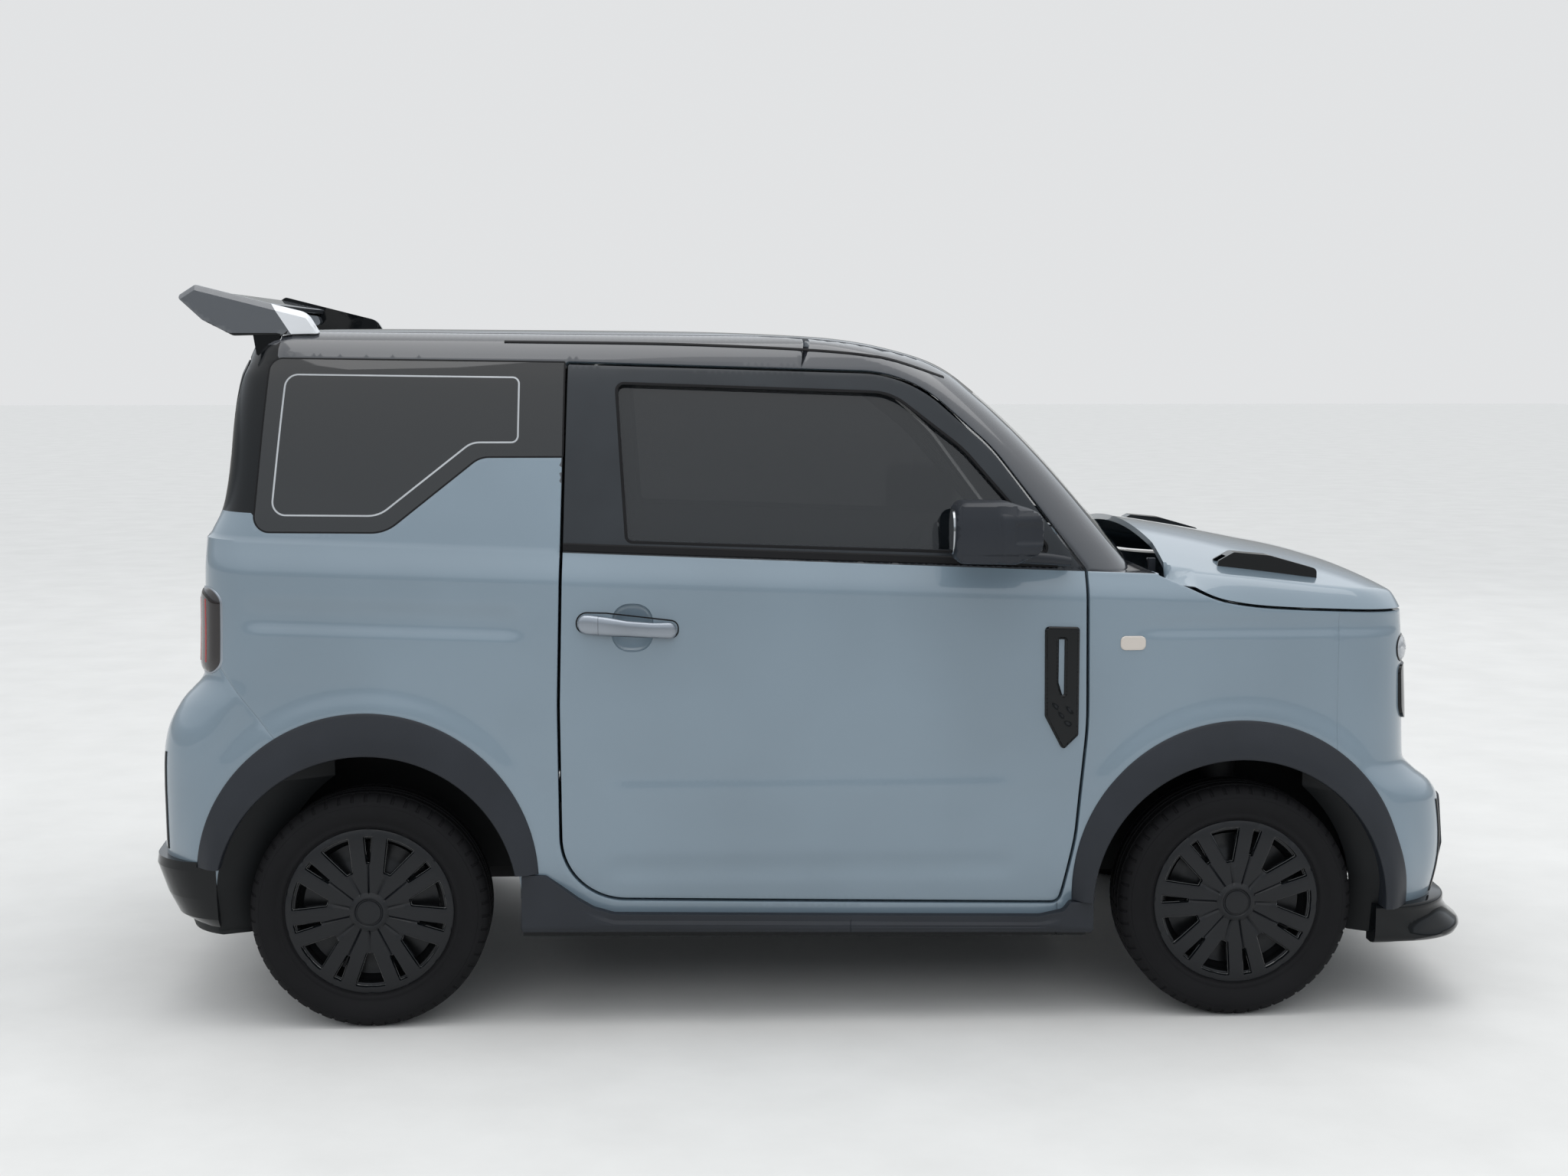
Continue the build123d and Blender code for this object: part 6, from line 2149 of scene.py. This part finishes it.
def mirror_chart(x, z, inset):
    x, z = np.asarray(x, float), np.asarray(z, float)
    dome = 8.0 * ((x - MIRROR_X0 - 110) / 100) ** 2 + 9.0 * ((z - 1150) / 70) ** 2
    pad = 8.0 * soft_box(x, z, MIRROR_X0 + 110, MIRROR_X1 + 60, 1112, 1190, 15)
    dip = 5.0 * soft_box(x, z, MIRROR_X0 + 138, MIRROR_X1 + 60, 1137, 1172, 8)
    seam = 1.3 * (np.abs(x - MIRROR_X0 - 14) < 1.2) + 1.2 * (np.abs(z - 1106) < 1.1) * (x > MIRROR_X0 + 15)
    return x, -(879 - dome + pad - dip - seam - inset), z


mirror_lines = [(MIRROR_LOOP, True)]
for dx in (12.4, 13.2, 14.8, 15.6, 95, 100, 105, 110, 130, 134, 138):
    mirror_lines.append(([(MIRROR_X0 + dx, z) for z in np.arange(1090, 1218, 5.0)], False))
for z in (
    1097, 1102, 1104.6, 1105.2, 1106.8, 1107.4, 1112, 1129, 1133, 1137, 1172, 1176, 1180, 1190, 1195, 1200,
    1205,
):
    mirror_lines.append(([(x, z) for x in np.arange(MIRROR_X0 + 4, MIRROR_X1 - 4, 5.0)], False))
mirror_edge = [(24, 0.0), (17, 1.8), (11, 5.0), (6, 9.6), (2.6, 15.6), (0.7, 22.0), (0.0, 28.0), (0.0, 112.0)]
mirror_box = (280, 500, 1070, 1230)
housing = panel(mirror_chart, mirror_lines, kept_in(MIRROR_LOOP), mirror_box, mirror_edge, 7, 7)
ARM = [
    (400, 1095, 13, -772, 24), (440, 1093, 14, -772, 22), (480, 1090, 14, -768, 18), (520, 1086, 13, -757, 15)
]
ARM += [(552, 1081, 12, -742, 16), (571, 1078, 10, -732, 14)]
arm = bar(ARM, 28)
glass = bar([(MIRROR_X0 - 0.9, 1153, 50, -806, 42), (MIRROR_X0 + 6, 1153, 51, -806, 43)], 40)
mirror_glass = moulded("mirror_glass", (0.42, 0.44, 0.46), 0.05, 100.0, 0.0, Metallic=1.0)
mirror = tinted((housing, 0), (arm, 0), (glass, 1))
add_pair("mirror", mirror, [mirror_plastic, mirror_glass], "door_mirror", "satin_plastic", 52)

# %% Roof wing
WING_REAR = REAR_X - 435
FIN = [
    (0, 1682, 8), (42, 1709, 10), (220, 1664, 10), (296, 1645, 40), (324, 1597, 3), (128, 1592, 20),
    (58, 1628, 20),
]
FIN = at_place(WING_REAR, 0, FIN)
FIN_LOOP = trace(FIN, 7.0)
fin_top = run_of(FIN[:5])


def fin_chart(x, z, inset):
    x, z = np.asarray(x, float), np.asarray(z, float)
    drop = fin_top(x) - z
    bevel = 9.0 * np.clip(1 - drop / 13, 0, 1)
    return x, -(565.5 - bevel - inset), z


def white_end(p):
    along = (p[:, 0] + 1261) * 70 - (1666 - p[:, 2]) * 45
    dark = (p[:, 2] < 1599) & (p[:, 0] < WING_REAR + 250)
    return np.where(along > 0, 1, np.where(dark, 2, 0))


fin_lines = [
    (FIN_LOOP, True), ([(-1261 + 45 * t, 1666 - 70 * t) for t in np.linspace(-0.3, 1.25, 30)], False)
]
fin_lines.append(([(x, fin_top(x) - 13) for x in np.arange(WING_REAR + 6, WING_REAR + 310, 6.0)], False))
fin_box = (WING_REAR - 5, WING_REAR + 330, 1585, 1715)
fin = panel(
    fin_chart, fin_lines, kept_in(FIN_LOOP), fin_box, [*FOLDED, (0.0, 19.0)], 9, 9,
    paint=white_end, lining=lambda p: np.full(len(p), 2),
)


def extruded(outline, y0, y1):
    """A closed prism across the car from a side outline."""
    loop = trace(outline, 6.0)
    return tube([[(x, y, z) for x, z in loop] for y in (y0, y1)])


def wing_bar(outline, y0, y1):
    return extruded(at_place(WING_REAR, 0, outline), y0, y1)


blade = wing_bar([(14, 1676, 4), (40, 1700, 6), (150, 1674, 3), (144, 1662, 3)], -550, 0)
leg = wing_bar([(180, 1548, 3), (172, 1600, 3), (236, 1600, 3), (228, 1548, 3)], -564, -548)
clip = wing_bar([(66, 1664, 4), (138, 1656, 8), (146, 1632, 8), (104, 1630, 4)], -548, -500)
wing = tinted((fin, fin[2]), (blade, 0), (leg, 2), (clip, 3))
wing_finishes = [wing_grey, wing_white, gloss_black, pale_metal]
add_both("wing_plates", wing, wing_finishes, "roof_wing", "wing_grey", 34)


# %% Bumper strips and a blank plate
def strip_on(chart, path, width, top):
    return ribbon(chart, address(chart, "yz", path), False, width, 2.0, top, 0.8)


strips = []
for side in (1, -1):
    path = [(side * (634 + 6 * step(300, 470, z)), z) for z in np.linspace(272, 497, 26)]
    strips.append(strip_on("nose", path, 13.0, -2.2))
for side in (1, -1):
    strips.append(strip_on("tail", [(side * 655, z) for z in np.linspace(412, 640, 26)], 11.0, -2.0))
add("bumper_strips", joined(*strips), [gloss_black], "body", None, "gloss_black", 40)

plate_white = moulded("plate_white", (0.62, 0.63, 0.64), 0.42, 300.0, 0.04)
PLATE = [(-220, 742, 8), (220, 742, 8), (220, 852, 8), (-220, 852, 8)]
plate_loop = address("tail", "yz", trace(PLATE, 6.0))


def proud(a, level, inset):
    """The tail's skin moved out by the plate's stand-off."""
    return skin("tail", a, level, inset - 5.0).T


plate = panel(proud, [(plate_loop, True)], kept_in(plate_loop), around(plate_loop), LENS_EDGE, 10, 8)
plate_rim = ribbon("tail", plate_loop, True, 5.0, -3.0, -6.6, 0.6)
add("plate_rear", joined(plate[:2], plate_rim), [plate_white], "tailgate", None, "satin_plastic", 40)

# %% [markdown]
# ## Seats
#
# A car seat is foam under sewn cloth: the sides pull in between the seams, the middle is crowned, and sewn
# channels cross it. Each cushion starts as a rounded block, is crowned and grooved by a rule, and is then
# subdivided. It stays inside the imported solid's space.


# %% Seat cloth and cushions
def woven(name, color, thread=0.0011):
    finish = Finish(name, color, 0.88, Sheen_Weight=0.25, Sheen_Roughness=0.5)
    split = finish.node("SeparateXYZ").socket.node
    plug(finish.tree, split.inputs[0], finish.place())
    across, up = Wire(finish.tree, split.outputs["Y"]), Wire(finish.tree, split.outputs["Z"])
    along = Wire(finish.tree, split.outputs["X"])
    warp = (across * (2 * pi / thread)).math("SINE")
    weft = ((up + along) * (2 * pi / thread)).math("SINE")
    height = (warp * weft) * 0.5 + 0.5
    cloud = finish.noise(9.0, 3.0, 0.6)
    deep, light = (tuple(share * c for c in color) for share in (0.8, 1.25))
    finish.set("Base Color", finish.ramp(cloud * 0.7 + height * 0.3, (0.3, deep), (0.75, light)))
    finish.bump(height + finish.noise(700.0, 2.0, 0.5) * 0.6, 0.5, 0.0004)
    return finish


seat_cloth = woven("seat_cloth", (0.035, 0.037, 0.042))
seat_edge = woven("seat_edge", (0.018, 0.019, 0.021), 0.0009)


def cushion(frame_points, width, thick, crown, channels, y_mid, count=(34, 34), bolster=0.0):
    """A pad that follows a centre line of (x, z) points, with a crown, rounded edges and sewn channels."""
    line = np.array(frame_points, float)
    run = np.concatenate([[0], np.cumsum(np.hypot(*np.diff(line, axis=0).T))])
    nu, nv = count
    verts, faces = [], []

    def place(u):
        """The line's point and its normal, at a share of its length."""
        s = run[-1] * u
        x, z = np.interp(s, run, line[:, 0]), np.interp(s, run, line[:, 1])
        h = run[-1] * 0.02
        dx, dz = (np.interp(s + h, run, line[:, k]) - np.interp(s - h, run, line[:, k]) for k in (0, 1))
        size = max(hypot(dx, dz), 1e-6)
        return x, z, -dz / size, dx / size

    grid = {}
    for side in (1, -1):
        for i in range(nu + 1):
            for j in range(nv + 1):
                a, v = (sin(0.5 * pi * (2 * k / n - 1)) for k, n in ((i, nu), (j, nv)))
                edge_u, edge_v = abs(a), abs(v)
                near = max(edge_u, edge_v)
                a, v = a * (1 - 0.06 * edge_v**10), v * (1 - 0.09 * edge_u**10)
                x, z, nx, nz = place((a + 1) / 2)
                pull = 1 - 0.02 * (1 - edge_u**4) * edge_v**6
                body = np.clip(1 - near**9, 0, 1) ** 0.42
                lift = thick / 2 * body * (1 if side > 0 else 0.75)
                if side > 0:
                    lift += crown * (1 - v * v) * (1 - edge_u**2)
                    rolled = float(hump(edge_v, 0.60, 0.78, 0.88, 1.02)) * float(1 - step(0.75, 1.0, edge_u))
                    lift += bolster * rolled * body
                    for kind, at in channels:
                        gap = abs((v if kind == "v" else a) - at) * (
                            width / 2 if kind == "v" else run[-1] / 2
                        )
                        lift -= 6.0 * max(0.0, 1 - gap / 16) ** 2 * body
                grid[side, i, j] = len(verts)
                verts.append((x + nx * lift * side, y_mid + v * width / 2 * pull, z + nz * lift * side))
    for side in (1, -1):
        for i in range(nu):
            for j in range(nv):
                face = [
                    grid[side, i, j], grid[side, i + 1, j], grid[side, i + 1, j + 1], grid[side, i, j + 1]
                ]
                faces.append(face if side > 0 else face[::-1])
    return np.array(verts), faces


def pad_piece(name, shape, finish, node):
    piece = new_piece(name, *shape, [finish])
    face_out(piece)
    soft = piece.modifiers.new("soft", "SUBSURF")
    soft.levels = soft.render_levels = 1
    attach(piece, "body")
    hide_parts(node)


SEAT_X, SEAT_Z = REAR_X + 905, 245.6
SEAT_LINE = [(-205, 190), (-60, 172), (120, 192), (262, 226)]
BACK_LINE = [(-200, 210), (-262, 420), (-330, 640), (-350, 775)]
HEAD_LINE = [(-342, 800), (-352, 870), (-356, 940)]
FOOT_FORM = [(-210, 0, 8), (225, 0, 8), (265, 168, 30), (-200, 132, 30)]
STEM_FORM = [(-353, 758, 2), (-341, 758, 2), (-344, 820, 2), (-356, 820, 2)]
BASE_SEAMS = [("v", -0.6), ("v", 0.6), ("u", -0.3), ("u", 0.3)]
BACK_SEAMS = [("v", -0.58), ("v", 0.58), ("u", -0.45), ("u", 0.0), ("u", 0.45)]


def at_seat(points):
    return at_place(SEAT_X, SEAT_Z, points)


for side_name, y in (("right", -330), ("left", 330)):
    base = cushion(at_seat(SEAT_LINE), 470, 104, 8, BASE_SEAMS, y, bolster=20.0)
    back = cushion(at_seat(BACK_LINE), 450, 88, 6, BACK_SEAMS, y, bolster=22.0)
    head = cushion(at_seat(HEAD_LINE), 236, 74, 6, [], y, (18, 18))
    pad_piece(f"seat_base_{side_name}", base, seat_cloth, "front_seats")
    pad_piece(f"seat_back_{side_name}", back, seat_cloth, "front_seats")
    pad_piece(f"head_rest_{side_name}", head, seat_edge, "front_seats")
    foot = extruded(at_seat(FOOT_FORM), y - 205, y + 205)
    stems = joined(*[extruded(at_seat(STEM_FORM), y + d - 6, y + d + 6) for d in (-55, 55)])
    add(f"seat_frame_{side_name}", joined(foot, stems), [cabin_plastic], "body", None, "dark_trim", 30)

BENCH_X, BENCH_Z = float(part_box("rear_bench")[1][0]) * 1000 - 120, float(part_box("rear_bench")[0][2]) * 1000
BENCH_SEAMS = [("v", 0.0), ("v", -0.5), ("v", 0.5)]
base_line = at_place(BENCH_X, BENCH_Z, [(-195, 74), (-60, 68), (95, 84)])
back_line = at_place(BENCH_X, BENCH_Z, [(-250, 110), (-300, 300), (-368, 520)])
bench_base = cushion(base_line, 770, 100, 8, BENCH_SEAMS, 0)
bench_back = cushion(back_line, 770, 80, 6, [*BENCH_SEAMS, ("u", 0.2)], 0)
pad_piece("bench_base", bench_base, seat_cloth, "rear_bench")
pad_piece("bench_back", bench_back, seat_cloth, "rear_bench")

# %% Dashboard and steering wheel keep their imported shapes
dressed(cabin_plastic, "dashboard", "steering_wheel", width=6.0)


# %% Arm rests and display
REST = [
    (-360, 712, 20, -660, 20), (-330, 716, 24, -658, 24), (60, 730, 24, -658, 24), (110, 732, 18, -662, 18)
]
PULL = [
    (-120, 780, 12, -664, 14), (-100, 784, 14, -662, 16), (60, 796, 14, -662, 16), (80, 796, 11, -664, 14)
]
add_pair("arm_rest", joined(bar(REST, 28), bar(PULL, 24)), [cabin_plastic], None, "dark_trim", 40)

# The display stands on the dashboard, clear of the steering wheel.
DASH_X = DOOR_FRONT_X - 38


def at_dash(outline, y0, y1):
    return extruded(at_place(DASH_X, 0, outline), y0, y1)


screen_body = at_dash([(-262, 962, 2), (-248, 958, 2), (-226, 1058, 5), (-238, 1062, 5)], -150, 95)
screen_face = at_dash([(-261.4, 974, 1), (-258, 973, 1), (-240, 1052, 1), (-243.2, 1053, 1)], -142, 87)
stand = at_dash([(-246, 960, 2), (-190, 966, 4), (-196, 985, 6), (-240, 1010, 6)], -70, 20)
display = tinted((screen_body, 0), (stand, 0), (screen_face, 1))
add("display", display, [cabin_plastic, gloss_black], "body", None, "dark_trim", 35)
